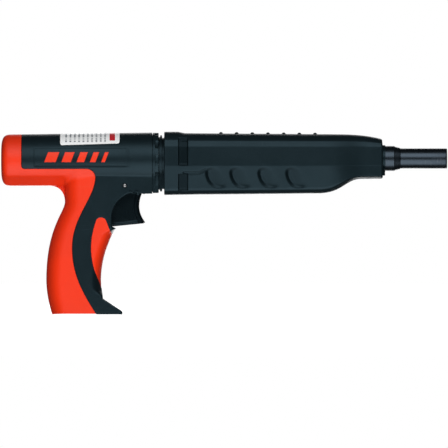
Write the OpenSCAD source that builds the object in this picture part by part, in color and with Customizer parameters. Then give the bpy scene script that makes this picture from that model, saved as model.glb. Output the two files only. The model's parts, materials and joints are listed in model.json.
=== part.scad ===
// Powder-actuated nail gun, single shot, trigger operated.
// The origin is the centre of the muzzle's front face. +X points out of the muzzle, +Z is up,
// and the tool's right side is at negative Y. All sizes are millimetres.

/* [Handle unit] */
// Radius of the round receiver housing
receiver_r = 20.9; // [20.6:0.1:21.4]
// Crown of the rear cap, measured along X
rear_x = -350; // [-352:0.5:-349]
// Front face of the receiver housing
receiver_front_x = -231.5; // [-232:0.5:-231]
// Underside of the trigger housing
trigger_block_z = -27.65; // [-28.5:0.05:-27]
// Half of the grip's thickness
grip_half_w = 16.2; // [15.5:0.1:16.4]
// Bottom of the grip
grip_bottom_z = -122.5; // [-124:0.5:-121]
// Wall of the housing halves
wall = 3; // [2.6:0.1:3.2]
// Thickness of the soft overmould
skin = 2.2; // [1.8:0.1:2.4]

/* [Guide tube and breech] */
// Outer radius of the guide tube
guide_r = 15; // [15:0.1:15.2]
// Inner radius of the guide tube
guide_bore_r = 12.6; // [12.5:0.05:12.7]
// Front end of the guide tube
guide_front_x = -126; // [-127:0.5:-125]
// Radial running clearance of the sliding parts
running = 0.05; // [0.02:0.01:0.1]
// Gap between faces that move past or towards each other
gap = 0.3; // [0.3:0.05:0.4]

/* [Foregrip] */
// Rear face of the foregrip
foregrip_rear_x = -222; // [-222.5:0.5:-221.5]
// Front face of the foregrip's nose
foregrip_front_x = -50.5; // [-51:0.5:-50]
// Half of the foregrip's width
foregrip_half_w = 22; // [21:0.5:23]
// Forward travel of the foregrip and barrel for loading
open_travel = 65; // [60:1:65]

/* [Barrel and muzzle] */
// Radius of the muzzle tube
muzzle_r = 8; // [7.5:0.1:8.5]
// Radius of the muzzle's bore
muzzle_bore_r = 4.05; // [3.9:0.05:4.3]
// Length of the muzzle's bore, which takes the nail
muzzle_bore_length = 66; // [60:1:66]
// Length of the muzzle tube in front of the collar
muzzle_tube_length = 36.5; // [35:0.5:38]
// Radius of the barrel's cylinder bore
cylinder_bore_r = 8.05; // [7.8:0.05:8.3]
// Radius of the chamber
chamber_r = 2.95; // [2.9:0.05:3.1]
// Stroke of the piston
piston_stroke = 70; // [60:1:70]

/* [Trigger] */
// Trigger pivot, X and Z
trigger_pivot = [-252.9, -21.3]; // [-260:0.1:-250]
// Half of the trigger's width
trigger_half_w = 6; // [5.5:0.1:6.2]
// Radius of the trigger pin and the sear pin
pin_r = 1.5; // [1.4:0.05:1.6]

/* [Hidden] */
$fn = 64;
eps = 0.01;
receiver_z = -0.5;
grip_top_z = -5;
sleeve_front_x = guide_front_x - 4 - open_travel - gap;
sleeve_rear_x = receiver_front_x + 5.1 + gap;
breech_face_x = -228.3;
barrel_rear_x = breech_face_x + gap;
barrel_r = guide_bore_r - running;
barrel_front_x = -75;
piston_rear_x = -212;
piston_head_l = 7;
buffer_x = piston_rear_x + piston_head_l + piston_stroke + 0.5;
muzzle_rear_x = buffer_x + 10;
collar_r = 9.9;
collar_front_x = -41.5;
bush_r = 13.2;
sear_pivot = [-275, -20.5];
guide_rear_x = rear_x + 10;
orange = [0.93, 0.25, 0.1];
black = [0.13, 0.16, 0.18];
blued = [0.2, 0.24, 0.27];
steel = [0.62, 0.64, 0.66];

// ---- Curves and outlines. Outlines are lists of [x, z], drawn anticlockwise. ----

// Cubic curve through its two end points, pulled towards the two middle ones
function bezier_point(p, t) = pow(1 - t, 3) * p[0] + 3 * t * pow(1 - t, 2) * p[1]
    + 3 * t * t * (1 - t) * p[2] + pow(t, 3) * p[3];
function curve(p, steps = 10) = [for (i = [0:steps]) bezier_point(p, i / steps)];
function arc(centre, r, from, to, steps = 8) =
    [for (i = [0:steps]) let (a = from + (to - from) * i / steps) centre + r * [cos(a), sin(a)]];
function left_normal(v) = [-v[1], v[0]] / norm(v);
// Moves every side of a closed anticlockwise outline inwards by d
function inset(pts, d) = let (n = len(pts)) [for (i = [0:n - 1])
    let (a = left_normal(pts[i] - pts[(i + n - 1) % n]), b = left_normal(pts[(i + 1) % n] - pts[i]))
    pts[i] + d * (a + b) / (1 + a * b)];
function reversed(pts) = [for (i = [len(pts) - 1:-1:0]) pts[i]];

// Back of the grip, from the receiver down to the heel
grip_back = concat(
    curve([[-312, -21.4], [-304, -21.4], [-300, -27], [-300, -34]], 6),
    curve([[-300, -34.5], [-300, -42], [-314.6, -54], [-314.6, -95]], 12),
    curve([[-314.6, -95.5], [-314.6, -106], [-312, -116], [-310, grip_bottom_z]], 6));
// Front of the grip, from above the toe up to the trigger
grip_front = curve([[-271.7, -96], [-271.7, -82], [-268, -70], [-261.5, -56.5]], 8);
// Round cut-out that the trigger moves in
trigger_cutout = arc([-243.1, -46.4], 19.9, 180, 92, 10);
block_end = [[-240, trigger_block_z], [receiver_front_x, trigger_block_z],
    [receiver_front_x, grip_top_z], [-312, grip_top_z]];
toe = [[-255, grip_bottom_z], [-254.8, -121], [-255.6, -119.5], [-270.2, -110]];
trigger_stop_tab = [[-259.9, -54.9], [-263, -53.4]];
grip_outline = concat(grip_back, toe, grip_front, trigger_stop_tab, trigger_cutout, block_end);
// The same without the thin toe and tab, so that it can be inset
grip_core_outline = concat(grip_back, [[-271.3, grip_bottom_z]],
    curve([[-271.7, -96], [-271.7, -82], [-268, -70], [-263.2, -57.5]], 8),
    trigger_cutout, block_end);

// Edge between the orange overmould and the black housing, from the top down to the heel
overmould_edge = concat(
    [[-334, 25]],
    arc([-331.5, -5.8], 2.5, 180, 270, 4),
    arc([-283, -15.3], 7, 90, 0, 6),
    curve([[-276.3, -19], [-286, -32], [-294.2, -50], [-294.2, -70]], 10),
    curve([[-294.2, -70.5], [-294.2, -90], [-287, -104], [-275, grip_bottom_z - 1]], 10));
overmould_region = concat(overmould_edge, [[rear_x - 2, grip_bottom_z - 1], [rear_x - 2, 25]]);
strap_region = concat(
    arc([-273.4, -50.8], 4.9, 180, 20, 8),
    [[-264.8, -56.2], [-263.2, -59.6], [-255, -61], [-255, -101], [-271, -101.5], [-274, -97],
        [-276.9, -90.7]],
    curve([[-278.6, -85], [-281.5, -75], [-281, -64], [-279.2, -57]], 6));

// Length along X turned into a solid: the child is drawn as [y, z]
module along_x(from, to) {
    translate([from, 0, 0]) rotate([90, 0, 90]) linear_extrude(to - from) children();
}

// Side outline [x, z] given the thickness 2 * half
module across_y(pts, half) {
    rotate([90, 0, 0]) linear_extrude(2 * half, center = true) polygon(pts);
}

// Round bar or hole on the bore axis
module x_cylinder(from, to, r, z = 0) {
    translate([from, 0, z]) rotate([0, 90, 0]) cylinder(h = to - from, r = r);
}

module x_tube(from, to, r, bore) {
    difference() {
        x_cylinder(from, to, r);
        x_cylinder(from - 1, to + 1, bore);
    }
}

module y_cylinder(at, from, to, r) {
    translate([at[0], from, at[1]]) rotate([-90, 0, 0]) cylinder(h = to - from, r = r);
}

module x_box(from, to, half_y, low_z, high_z) {
    translate([from, -half_y, low_z]) cube([to - from, 2 * half_y, high_z - low_z]);
}

// Keeps one side of the tool: side is -1 for the right half and 1 for the left
module half_of(side) {
    intersection() {
        children();
        translate([-400, side < 0 ? -60 : 0, -150]) cube([450, 60, 200]);
    }
}

// ---- Handle unit ----

// Domed round receiver with its wall moved inwards by d
module receiver_form(d) {
    r = receiver_r - d;
    dome = concat([[0, d]], curve([[r * 0.55, d], [r * 0.86, d + 0.6], [r - 0.8, d + 2], [r - 0.6, d + 6]], 6),
        [[r, d + 12]]);
    profile = concat(dome, [[r, receiver_front_x - rear_x], [0, receiver_front_x - rear_x]]);
    translate([rear_x, 0, receiver_z]) rotate([0, 90, 0]) rotate_extrude() polygon(profile);
}

module handle_form(outline, d) {
    receiver_form(d);
    across_y(outline, grip_half_w - d);
}

module handle_cavity() {
    receiver_form(skin + wall);
    x_cylinder(-300, receiver_front_x + 1, receiver_r - wall, receiver_z);
    intersection() {
        across_y(inset(grip_core_outline, wall), grip_half_w - wall);
        x_box(-299, receiver_front_x - wall, 30, grip_bottom_z + 6, 0);
    }
    intersection() {
        across_y(inset(grip_core_outline, wall + skin), grip_half_w - wall - skin);
        x_box(rear_x, -270, 30, grip_bottom_z + 6, 0);
    }
    // Slot in which the trigger swings
    x_box(-270, -237.5, trigger_half_w + 0.6, -53.95, -10);
}

housing_screw_at = [[-277, -40.5], [-303.5, -84], [-277, -113], [-236.6, -21.4]];

// Half-ring saddles that hold the guide tube, and bosses for the screws
module handle_ribs(side) {
    for (x = [-330, -316, -246]) {
        difference() {
            x_cylinder(x, x + 3, receiver_r - wall + 0.4, receiver_z);
            x_cylinder(x - 1, x + 4, guide_r);
        }
    }
    for (p = housing_screw_at) {
        y_cylinder(p, side < 0 ? skin + 0.5 - grip_half_w : 0, side < 0 ? 0 : grip_half_w - skin - 0.5, 3.2);
    }
}

module housing_half(side) {
    half_of(side) difference() {
        union() {
            difference() {
                union() {
                    handle_form(inset(grip_core_outline, skin), skin);
                    difference() {
                        handle_form(grip_outline, 0);
                        across_y(overmould_region, 40);
                        across_y(strap_region, 40);
                    }
                }
                handle_cavity();
            }
            handle_ribs(side);
        }
        x_cylinder(guide_rear_x, 0, guide_r);
        x_cylinder(rear_x + skin + wall, guide_rear_x + 1, 14);
        // Recessed side panel behind the badge
        difference() {
            x_box(-324, -250, 40, -6.5, 8);
            x_cylinder(-326, -248, receiver_r - 0.4, receiver_z);
        }
        for (p = housing_screw_at) {
            y_cylinder(p, -9, 40, 1.7);
            y_cylinder(p, 13, 40, 3.0);
            y_cylinder(p, -9, -3, 2.4);
        }
        for (p = [trigger_pivot, sear_pivot]) y_cylinder(p, -15.2, 15.2, pin_r);
        y_cylinder(trigger_pivot, -40, -14.8, 2.2);
        y_cylinder(trigger_pivot, 14.8, 40, 2.2);
    }
}

module right_housing() { color(black) housing_half(-1); }
module left_housing() { color(black) housing_half(1); }

module skin_half(side, region) {
    half_of(side) difference() {
        intersection() {
            handle_form(grip_outline, 0);
            across_y(region, 40);
        }
        handle_form(inset(grip_core_outline, skin), skin);
        for (p = housing_screw_at) y_cylinder(p, 13, 40, 3.0);
    }
}

module right_grip_overmould() { color(orange) skin_half(-1, overmould_region); }
module left_grip_overmould() { color(orange) skin_half(1, overmould_region); }

module strap_half(side) {
    difference() {
        skin_half(side, strap_region);
        x_box(-270, -237.5, trigger_half_w + 0.6, -53.95, -10);
    }
}

module right_front_strap() { color(orange) strap_half(-1); }
module left_front_strap() { color(orange) strap_half(1); }

module guide_tube() {
    color(steel) difference() {
        x_tube(guide_rear_x, guide_front_x, guide_r, guide_bore_r);
        // Slot for the sear
        x_box(-312, -255, 4.5, -20, -8);
        // Loading window, covered while the foregrip is closed
        translate([-222, 0, -8]) cube([50, 20, 16]);
        // Groove for the stop ring
        difference() {
            x_cylinder(guide_front_x - 4, guide_front_x - 1.6, guide_r + 1);
            x_cylinder(guide_front_x - 5, guide_front_x, guide_r - 0.8);
        }
    }
}

module front_ring() {
    ring_front = receiver_front_x + 5.1;
    color(black) difference() {
        union() {
            x_cylinder(receiver_front_x, ring_front, receiver_r - 0.1, receiver_z);
            x_box(receiver_front_x, ring_front, grip_half_w - 0.2, trigger_block_z + 0.5, 0);
        }
        x_cylinder(receiver_front_x - 1, ring_front + 1, guide_r);
        // Scallops round the ring's edge
        for (a = [-40:16:220]) {
            translate([0, 0, receiver_z]) rotate([a, 0, 0])
                translate([receiver_front_x + 2.6, receiver_r + 0.6, 0]) rotate([0, 90, 0]) cylinder(h = 4, r = 1.3);
        }
    }
}

module travel_stop_ring() {
    color(steel) x_tube(guide_front_x - 4, guide_front_x - 1.6, guide_r + 1.6, guide_r - 0.8);
}

module rear_buffer() {
    color("dimgray") x_tube(rear_x + skin + wall, guide_rear_x, 14, 3);
}

module spring_plug() {
    color(steel) union() {
        x_cylinder(guide_rear_x, guide_rear_x + 3, guide_bore_r);
        x_cylinder(guide_rear_x + 3, guide_rear_x + 7, 4);
    }
}

// Pan-head screw from the left side, with its head's seat at head_y
module side_screw(p, head_y, tip_y) {
    difference() {
        union() {
            y_cylinder(p, tip_y, head_y, 1.6);
            y_cylinder(p, head_y, head_y + 2.2, 2.8);
        }
        translate([p[0], head_y + 1, p[1]]) rotate([-90, 0, 0]) cylinder(h = 3, r = 1.4, $fn = 6);
    }
}

module insert(p, from, to, r) {
    difference() {
        y_cylinder(p, from, to, r);
        y_cylinder(p, from - 1, to + 1, 1.6);
    }
}

module housing_screws() { color(steel) for (p = housing_screw_at) side_screw(p, 13, -8.8); }
module housing_inserts() { color("gold") for (p = housing_screw_at) insert(p, -8.8, -3, 2.4); }
module trigger_pin() { color(steel) y_cylinder(trigger_pivot, -15.2, 15.2, pin_r); }
module sear_pin() { color(steel) y_cylinder(sear_pivot, -12, 12, pin_r); }

module torsion_spring(p, from, to) {
    difference() {
        y_cylinder(p, from, to, pin_r + 1.5);
        y_cylinder(p, from - 1, to + 1, pin_r + 0.3);
    }
}

module trigger_spring() { color(steel) torsion_spring(trigger_pivot, trigger_half_w + gap, 11.5); }
module sear_spring() { color(steel) torsion_spring(sear_pivot, 3.5 + gap, 9); }

// Sticker wrapped over the top of the receiver
module product_label() {
    color("white") intersection() {
        difference() {
            x_cylinder(-303.5, -257, receiver_r + 0.15, receiver_z);
            x_cylinder(-304, -256, receiver_r, receiver_z);
        }
        across_y([[-303.5, 10.4], [-257, 11.8], [-257, 25], [-303.5, 25]], 30);
    }
}

// Row of slanted bars that narrow towards the front
module badge_half(side) {
    widths = [9, 7.5, 6, 4.5, 3];
    starts = [for (i = 0, x = -316; i < len(widths); x = x + widths[i] + 4.4, i = i + 1) x];
    half_of(side) intersection() {
        difference() {
            x_cylinder(-320, -252, receiver_r - 0.05, receiver_z);
            x_cylinder(-321, -251, receiver_r - 0.4, receiver_z);
        }
        union() for (i = [0:len(widths) - 1]) {
            across_y([[starts[i], -3], [starts[i] + widths[i], -3], [starts[i] + widths[i] + 3, 5],
                [starts[i] + 3, 5]], 30);
        }
    }
}

module right_badge() { color(orange) badge_half(-1); }
module left_badge() { color(orange) badge_half(1); }

// ---- Firing mechanism ----

module trigger() {
    front = curve([[-236.9, -50], [-241.5, -44], [-243.5, -37], [-239.6, -27.6]], 8);
    outline = concat([[-262.2, -53.2], [-257, -53.4], [-239, -51.2]], front,
        [[-244, -22], [-248, -18], [-256, -18], [-257.5, -20], [-262.2, -20]]);
    color(black) difference() {
        across_y(outline, trigger_half_w);
        y_cylinder(trigger_pivot, -20, 20, pin_r + running);
    }
}

module sear() {
    color(steel) difference() {
        across_y([[-294, -16], [-290, -22], [-279, -24], [-270, -24], [-268, -20.4], [-260.5, -19.6],
            [-260.5, -17.6], [-288.5, -17.2], [-291, -5.2], [-294, -5.2]], 3.5);
        y_cylinder(sear_pivot, -20, 20, pin_r + running);
    }
}

module breech_block() {
    rear = -290;
    color(steel) difference() {
        x_cylinder(rear, breech_face_x, barrel_r);
        x_cylinder(rear - 1, -242 + gap, 4 + running);
        x_cylinder(-243, breech_face_x + 1, 1.25 + running);
        // Clearance for the sear's nose
        x_box(rear - 1, -280, 4.1, -14, 0);
    }
}

module firing_pin() {
    color(steel) union() {
        x_cylinder(-306, -242, 4);
        x_cylinder(-300, -296, 7);
        x_cylinder(-242, breech_face_x - 0.6, 1.25);
    }
}

module firing_pin_spring() {
    color(steel) x_tube(guide_rear_x + 3, -300 - gap, 6.4, 4.6);
}

// ---- Foregrip unit ----

foregrip_side = concat(
    [[foregrip_rear_x, -28.7], [-195, -28.3], [-100, -27.4]],
    curve([[-97, -27.2], [-82, -26.5], [-78, -16.1], [-68, -16.1]], 10),
    [[-52, -16.1], [foregrip_front_x, -14.6], [foregrip_front_x, 13.5]],
    curve([[-52.5, 15.6], [-60, 17.5], [-70, 18.9], [-85, 19]], 6),
    [[-206, 19.9], [-211, 21], [foregrip_rear_x, 21]]);
foregrip_section = concat(
    curve([[17, -28.7], [19.2, -28.7], [19.8, -26], [20.2, -23.5]], 3),
    [[foregrip_half_w, -5.5], [foregrip_half_w, 9], [19.5, 14]],
    curve([[16.5, 17], [13.5, 19.6], [11, 20.6], [8, 21]], 4));
foregrip_plan = [[foregrip_rear_x, foregrip_half_w], [-88, foregrip_half_w], [-64, 16.2],
    [foregrip_front_x, 15.4]];

function mirrored(pts) = concat(pts, reversed([for (p = pts) [-p[0], p[1]]]));
function both_sides(pts) = concat([for (p = pts) [p[0], -p[1]]], reversed(pts));

module foregrip_form() {
    intersection() {
        across_y(foregrip_side, 40);
        along_x(foregrip_rear_x - 1, foregrip_front_x + 1) polygon(mirrored(foregrip_section));
        translate([0, 0, -50]) linear_extrude(100) polygon(both_sides(foregrip_plan));
    }
}

// Hollow inside the foregrip, seen from the side, from behind and from above
cavity_side = concat([[-208, -25.4], [-100, -24.3]],
    curve([[-97.5, -24.2], [-84, -23.5], [-80, -14.6], [-74, -13.4]], 8),
    [[-74, 15.8], [-208, 16.6]]);
cavity_section = [[15.5, -26], [17.4, -23.5], [foregrip_half_w - wall, -5.5],
    [foregrip_half_w - wall, 8], [16.6, 12.4], [9, 18]];
cavity_plan = [[-208, foregrip_half_w - wall], [-90, foregrip_half_w - wall], [-74, 15.9]];

foregrip_screw_at = [[-184, -21.4], [-142, -21.4], [-104, -20.8]];

// The hollow is crossed by two ribs that hold the spring seat
module foregrip_cavity() {
    difference() {
        intersection() {
            across_y(cavity_side, 40);
            along_x(-209, -73) polygon(mirrored(cavity_section));
            translate([0, 0, -50]) linear_extrude(100) polygon(both_sides(cavity_plan));
        }
        for (x = [guide_front_x + 2, guide_front_x + 8.3]) x_box(x, x + 1.7, 40, -40, 40);
    }
}

// Neck that carries the foregrip on the guide tube
module sleeve_form() {
    union() {
        x_cylinder(sleeve_rear_x, sleeve_front_x, 17.7);
        x_box(sleeve_rear_x, sleeve_front_x, 12, -25.2, 0);
    }
}

module foregrip_half(side) {
    half_of(side) difference() {
        union() {
            difference() {
                foregrip_form();
                foregrip_cavity();
            }
            for (p = foregrip_screw_at) y_cylinder(p, -19, 19, 3.2);
            // Ribs across the top of the grip
            intersection() {
                union() for (i = [0:6]) x_box(-179 + 12.3 * i, -176 + 12.3 * i, 9, 16, 20.9);
                along_x(-200, -90) polygon(mirrored(foregrip_section));
            }
        }
        sleeve_form();
        x_cylinder(sleeve_front_x - 1, guide_front_x + 12, 17.1);
        x_cylinder(-80, -56, bush_r);
        x_cylinder(-57, -50, 10.6);
        // Room for the barrel's flange
        x_cylinder(-84, -74.7, 14.5);
        for (p = foregrip_screw_at) {
            y_cylinder(p, -9, 40, 1.7);
            y_cylinder(p, 16, 40, 3.0);
            y_cylinder(p, -9, -3, 2.4);
        }
    }
}

module right_foregrip() { color(black) foregrip_half(-1); }
module left_foregrip() { color(black) foregrip_half(1); }

module neck_sleeve() {
    color(black) difference() {
        sleeve_form();
        x_cylinder(-230, -180, guide_r + 1.2);
        // Two grooves round the exposed neck
        for (x = [-225.3, -223.6]) difference() {
            x_box(x, x + 0.7, 40, -40, 40);
            x_cylinder(x - 1, x + 2, 17);
            x_box(x - 1, x + 2, 11.3, -24.5, 0);
        }
    }
}

module sleeve_bush() {
    color("peru") x_tube(sleeve_rear_x, sleeve_front_x, guide_r + 1.2, guide_r + running);
}

module nose_bush() {
    color(black) difference() {
        union() {
            x_cylinder(-74, -56, bush_r);
            x_cylinder(-56, foregrip_front_x + 2, 10.6);
        }
        x_cylinder(-80, -40, collar_r + running);
    }
}

module spring_seat() {
    color(steel) x_tube(guide_front_x + 4, guide_front_x + 8, 17.1, barrel_r + 0.1);
}

module foregrip_screws() { color(steel) for (p = foregrip_screw_at) side_screw(p, 16, -8.8); }
module foregrip_inserts() { color("gold") for (p = foregrip_screw_at) insert(p, -8.8, -3, 2.4); }

// ---- Barrel ----

module barrel() {
    color(blued) difference() {
        union() {
            x_cylinder(barrel_rear_x, barrel_front_x, barrel_r);
            x_cylinder(barrel_front_x - 4, barrel_front_x, 14.2);
        }
        x_cylinder(barrel_rear_x - 1, barrel_rear_x + 1.2, chamber_r + 0.7);
        x_cylinder(barrel_rear_x, piston_rear_x - gap + eps, chamber_r);
        x_cylinder(piston_rear_x - gap, buffer_x, cylinder_bore_r);
        x_cylinder(buffer_x - eps, barrel_front_x + 1, 10);
    }
}

module muzzle() {
    color(blued) difference() {
        union() {
            x_cylinder(-muzzle_tube_length, 0, muzzle_r);
            x_cylinder(barrel_front_x, -muzzle_tube_length, muzzle_r - 0.2);
            x_cylinder(muzzle_rear_x, barrel_front_x, 10);
        }
        x_cylinder(-muzzle_bore_length, 1, muzzle_bore_r);
        x_cylinder(muzzle_rear_x - 1, -muzzle_bore_length, muzzle_bore_r + 0.25);
    }
}

module barrel_collar() {
    rear = -73;
    color(blued) difference() {
        union() {
            x_cylinder(rear, collar_front_x, collar_r);
            translate([collar_front_x, 0, 0]) rotate([0, 90, 0])
                cylinder(h = -muzzle_tube_length - collar_front_x, r1 = collar_r, r2 = muzzle_r + 0.1);
        }
        x_cylinder(rear - 1, 0, muzzle_r - 0.2);
    }
}

module barrel_spring() {
    color(steel) x_tube(guide_front_x + 8, barrel_front_x - 4, 14.1, barrel_r + 0.25);
}

module piston_buffer() {
    color("dimgray") x_tube(buffer_x, muzzle_rear_x, 10, muzzle_bore_r + 0.25);
}

module piston() {
    tip_x = -piston_stroke;
    color(steel) difference() {
        union() {
            x_cylinder(piston_rear_x, piston_rear_x + piston_head_l, cylinder_bore_r - running);
            x_cylinder(piston_rear_x + piston_head_l, tip_x, muzzle_bore_r - 0.1);
        }
        // Groove for the piston ring
        x_tube(piston_rear_x + 2.4, piston_rear_x + 4.6, cylinder_bore_r + 1, cylinder_bore_r - 1.2);
    }
}

module piston_ring() {
    color("dimgray") difference() {
        x_tube(piston_rear_x + 2.4, piston_rear_x + 4.6, cylinder_bore_r - 0.02, cylinder_bore_r - 1.2);
        translate([piston_rear_x, 4, -0.4]) cube([8, 6, 0.8]);
    }
}

right_housing();
left_housing();
right_grip_overmould();
left_grip_overmould();
right_front_strap();
left_front_strap();
guide_tube();
front_ring();
travel_stop_ring();
rear_buffer();
spring_plug();
housing_screws();
housing_inserts();
trigger_pin();
sear_pin();
trigger_spring();
sear_spring();
product_label();
right_badge();
left_badge();
trigger();
sear();
breech_block();
firing_pin();
firing_pin_spring();
right_foregrip();
left_foregrip();
neck_sleeve();
sleeve_bush();
nose_bush();
spring_seat();
foregrip_screws();
foregrip_inserts();
barrel();
muzzle();
barrel_collar();
barrel_spring();
piston_buffer();
piston();
piston_ring();
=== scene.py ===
"""Visible pieces, finishes and studio for a powder-actuated nail gun.

Metres throughout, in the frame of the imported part: the origin is the centre of the muzzle's front
face, +X points out of the muzzle and +Z is up. Outlines below are in millimetres and are scaled once,
where a mesh is made.
"""
import json
import math

import bpy
import numpy as np
from bpy.props import (BoolProperty, FloatProperty, FloatVectorProperty, IntProperty,
                       PointerProperty)
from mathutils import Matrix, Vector


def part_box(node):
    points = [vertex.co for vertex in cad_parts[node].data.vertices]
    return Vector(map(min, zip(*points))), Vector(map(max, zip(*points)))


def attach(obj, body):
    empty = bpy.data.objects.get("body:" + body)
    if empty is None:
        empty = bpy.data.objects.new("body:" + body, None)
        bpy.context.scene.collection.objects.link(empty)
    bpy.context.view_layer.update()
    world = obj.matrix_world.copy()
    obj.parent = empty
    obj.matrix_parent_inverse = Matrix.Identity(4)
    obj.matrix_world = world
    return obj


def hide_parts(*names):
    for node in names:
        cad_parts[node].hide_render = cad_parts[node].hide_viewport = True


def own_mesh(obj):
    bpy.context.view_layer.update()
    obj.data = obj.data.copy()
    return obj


bl_info = {
    "name": "Nail Gun Parts",
    "version": (1, 0, 0),
    "blender": (4, 5, 0),
    "location": "View3D > Sidebar > Nail Gun",
    "description": "Makes the pieces, finishes and studio of a powder-actuated nail gun",
    "category": "Object",
}

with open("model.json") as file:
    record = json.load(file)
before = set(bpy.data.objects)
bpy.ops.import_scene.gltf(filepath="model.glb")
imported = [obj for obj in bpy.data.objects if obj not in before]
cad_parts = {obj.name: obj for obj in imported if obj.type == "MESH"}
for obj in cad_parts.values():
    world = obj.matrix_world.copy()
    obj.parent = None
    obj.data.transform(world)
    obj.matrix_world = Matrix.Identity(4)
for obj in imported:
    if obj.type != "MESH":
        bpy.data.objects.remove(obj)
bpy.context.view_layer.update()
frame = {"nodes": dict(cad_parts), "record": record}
MM = 0.001


def node_box(name):
    """Lowest and highest corners of a CAD node in millimetres."""
    low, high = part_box(name)
    return np.array(low) / MM, np.array(high) / MM


REAR_X = node_box("right_grip_overmould")[0][0]
RECEIVER_FRONT_X = node_box("right_housing")[1][0]
HEEL_Z = node_box("right_grip_overmould")[0][2]
BLOCK_Z = -27.65
RING_FRONT_X = node_box("front_ring")[1][0]
FOREGRIP_REAR_X = node_box("right_foregrip")[0][0]
FOREGRIP_FRONT_X = node_box("right_foregrip")[1][0]
TRIGGER_PIVOT = (-252.9, -21.3)
SEAR_PIVOT = (-275.0, -20.5)
CAP_FRONT_X = -334.0
SCREWS = ((-277.0, -40.5), (-303.5, -84.0), (-277.0, -113.0), (-236.6, -21.4))
FOREGRIP_SCREWS = ((-184.0, -21.4), (-142.0, -21.4), (-104.0, -20.8))
POCKET_R = 3.0
PIN_HOLE_R = 2.2
OUTSIDE_Y = 30.0
SIDES = ((-1, "right"), (1, "left"))


# ---------------------------------------------------------------- curves

def bezier(points, count):
    """Cubic curve: each end point is met and the middle two pull it. count points, both ends in."""
    p = np.array(points, float)
    t = np.linspace(0, 1, count)[:, None]
    return (1 - t) ** 3 * p[0] + 3 * t * (1 - t) ** 2 * p[1] + 3 * t * t * (1 - t) * p[2] + t ** 3 * p[3]


def arc(centre, radius, start, end, count):
    """Circle stretch from one angle to another, in degrees: centre + radius * (cos, sin)."""
    a = np.radians(np.linspace(start, end, count))
    return np.array(centre) + radius * np.stack([np.cos(a), np.sin(a)], 1)


def chain(*stretches):
    """Joins stretches of points into one line, dropping points that repeat."""
    line = np.concatenate([np.array(s, float) for s in stretches])
    keep = np.append(True, np.linalg.norm(np.diff(line, axis=0), axis=1) > 1e-6)
    return line[keep]


def resample(line, count):
    """Points at even arc length along a line."""
    steps = np.append(0, np.cumsum(np.linalg.norm(np.diff(line, axis=0), axis=1)))
    at = np.linspace(0, 1, count) * steps[-1]
    return np.stack([np.interp(at, steps, line[:, k]) for k in range(line.shape[1])], 1)


def distance_to(line, x, z):
    """Shortest distance from every (x, z) to a line: foot of the perpendicular on each side, clamped."""
    a, b = line[:-1], line[1:]
    d = b - a
    length2 = np.maximum((d ** 2).sum(1), 1e-12)
    best = np.full(np.shape(x), 1e9)
    for i in range(len(a)):
        t = np.clip(((x - a[i, 0]) * d[i, 0] + (z - a[i, 1]) * d[i, 1]) / length2[i], 0, 1)
        best = np.minimum(best, np.hypot(x - a[i, 0] - t * d[i, 0], z - a[i, 1] - t * d[i, 1]))
    return best


def smooth(low, high, value):
    """Eases from 0 to 1 between low and high: 3t^2 - 2t^3."""
    t = np.clip((value - low) / (high - low), 0, 1)
    return t * t * (3 - 2 * t)


def window(value, rise, full, fall, end):
    """0 before rise and after end, 1 from full to fall, eased between them."""
    return smooth(rise, full, value) * (1 - smooth(fall, end, value))


def soft_max(a, b, radius):
    """The larger of two heights, with the crease between them filled over about one radius."""
    h = np.clip(0.5 + 0.5 * (a - b) / radius, 0, 1)
    return b + (a - b) * h + radius * h * (1 - h)


def round_over(distance, radius):
    """Quarter ellipse: 0 at the edge, 1 from one radius inwards."""
    t = 1 - np.clip(distance / radius, 0, 1)
    return np.sqrt(np.maximum(1 - t * t, 0))


def edge_drop(distance, radius):
    """How far a surface rolls down near its rim: a quarter circle, radius deep at distance 0."""
    return radius * (1 - round_over(distance, radius))


def xyz(x, y, z):
    """Points from their three coordinates, each given for every point or shared by some of them."""
    return np.stack(np.broadcast_arrays(x, y, z), -1)


# ---------------------------------------------------------------- meshes

def grid_faces(rows, columns, close_rows=False, close_columns=False):
    """Quads of a grid of rows x columns points, row by row."""
    i = np.arange(rows if close_rows else rows - 1)
    j = np.arange(columns if close_columns else columns - 1)
    i, j = np.meshgrid(i, j, indexing="ij")
    i2, j2 = (i + 1) % rows, (j + 1) % columns
    corners = [i * columns + j, i * columns + j2, i2 * columns + j2, i2 * columns + j]
    return np.stack(corners, -1).reshape(-1, 4)


def weld(patches, axis_z=None):
    """Joins grids of points (rows, columns, 3) into one vertex list and one quad list, sharing the
    points that lie within a micrometre of each other, and tells which point each vertex was. A grid's
    quads are turned to face away from the parting plane, or from the line at height axis_z on it."""
    points = np.concatenate([p.reshape(-1, 3) for p in patches])
    start, faces = 0, []
    for p in patches:
        quads = grid_faces(p.shape[0], p.shape[1]) + start
        middle = points[quads].mean(1)
        away = middle * [0, 1, 0] if axis_z is None else middle * [0, 1, 1] - [0, 0, axis_z]
        if (face_normals(points, quads) * away).sum() < 0:
            quads = quads[:, ::-1]
        faces.append(quads)
        start += p.shape[0] * p.shape[1]
    faces = np.concatenate(faces)
    _, first, index = np.unique(np.round(points, 3), axis=0, return_index=True, return_inverse=True)
    return points[first], index.ravel()[faces], first


def face_normals(points, faces):
    """Area-weighted quad normals: half the cross product of the diagonals."""
    q = points[faces]
    return 0.5 * np.cross(q[:, 2] - q[:, 0], q[:, 3] - q[:, 1])


def vertex_normals(points, faces):
    """Sum of the normals of the faces round each point, made unit length."""
    n = face_normals(points, faces)
    total = np.zeros_like(points)
    for k in range(faces.shape[1]):
        np.add.at(total, faces[:, k], n)
    return total / np.maximum(np.linalg.norm(total, axis=1, keepdims=True), 1e-12)


def linked(name, data):
    """New object in the scene, at the origin."""
    obj = bpy.data.objects.new(name, data)
    bpy.context.scene.collection.objects.link(obj)
    return obj


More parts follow.
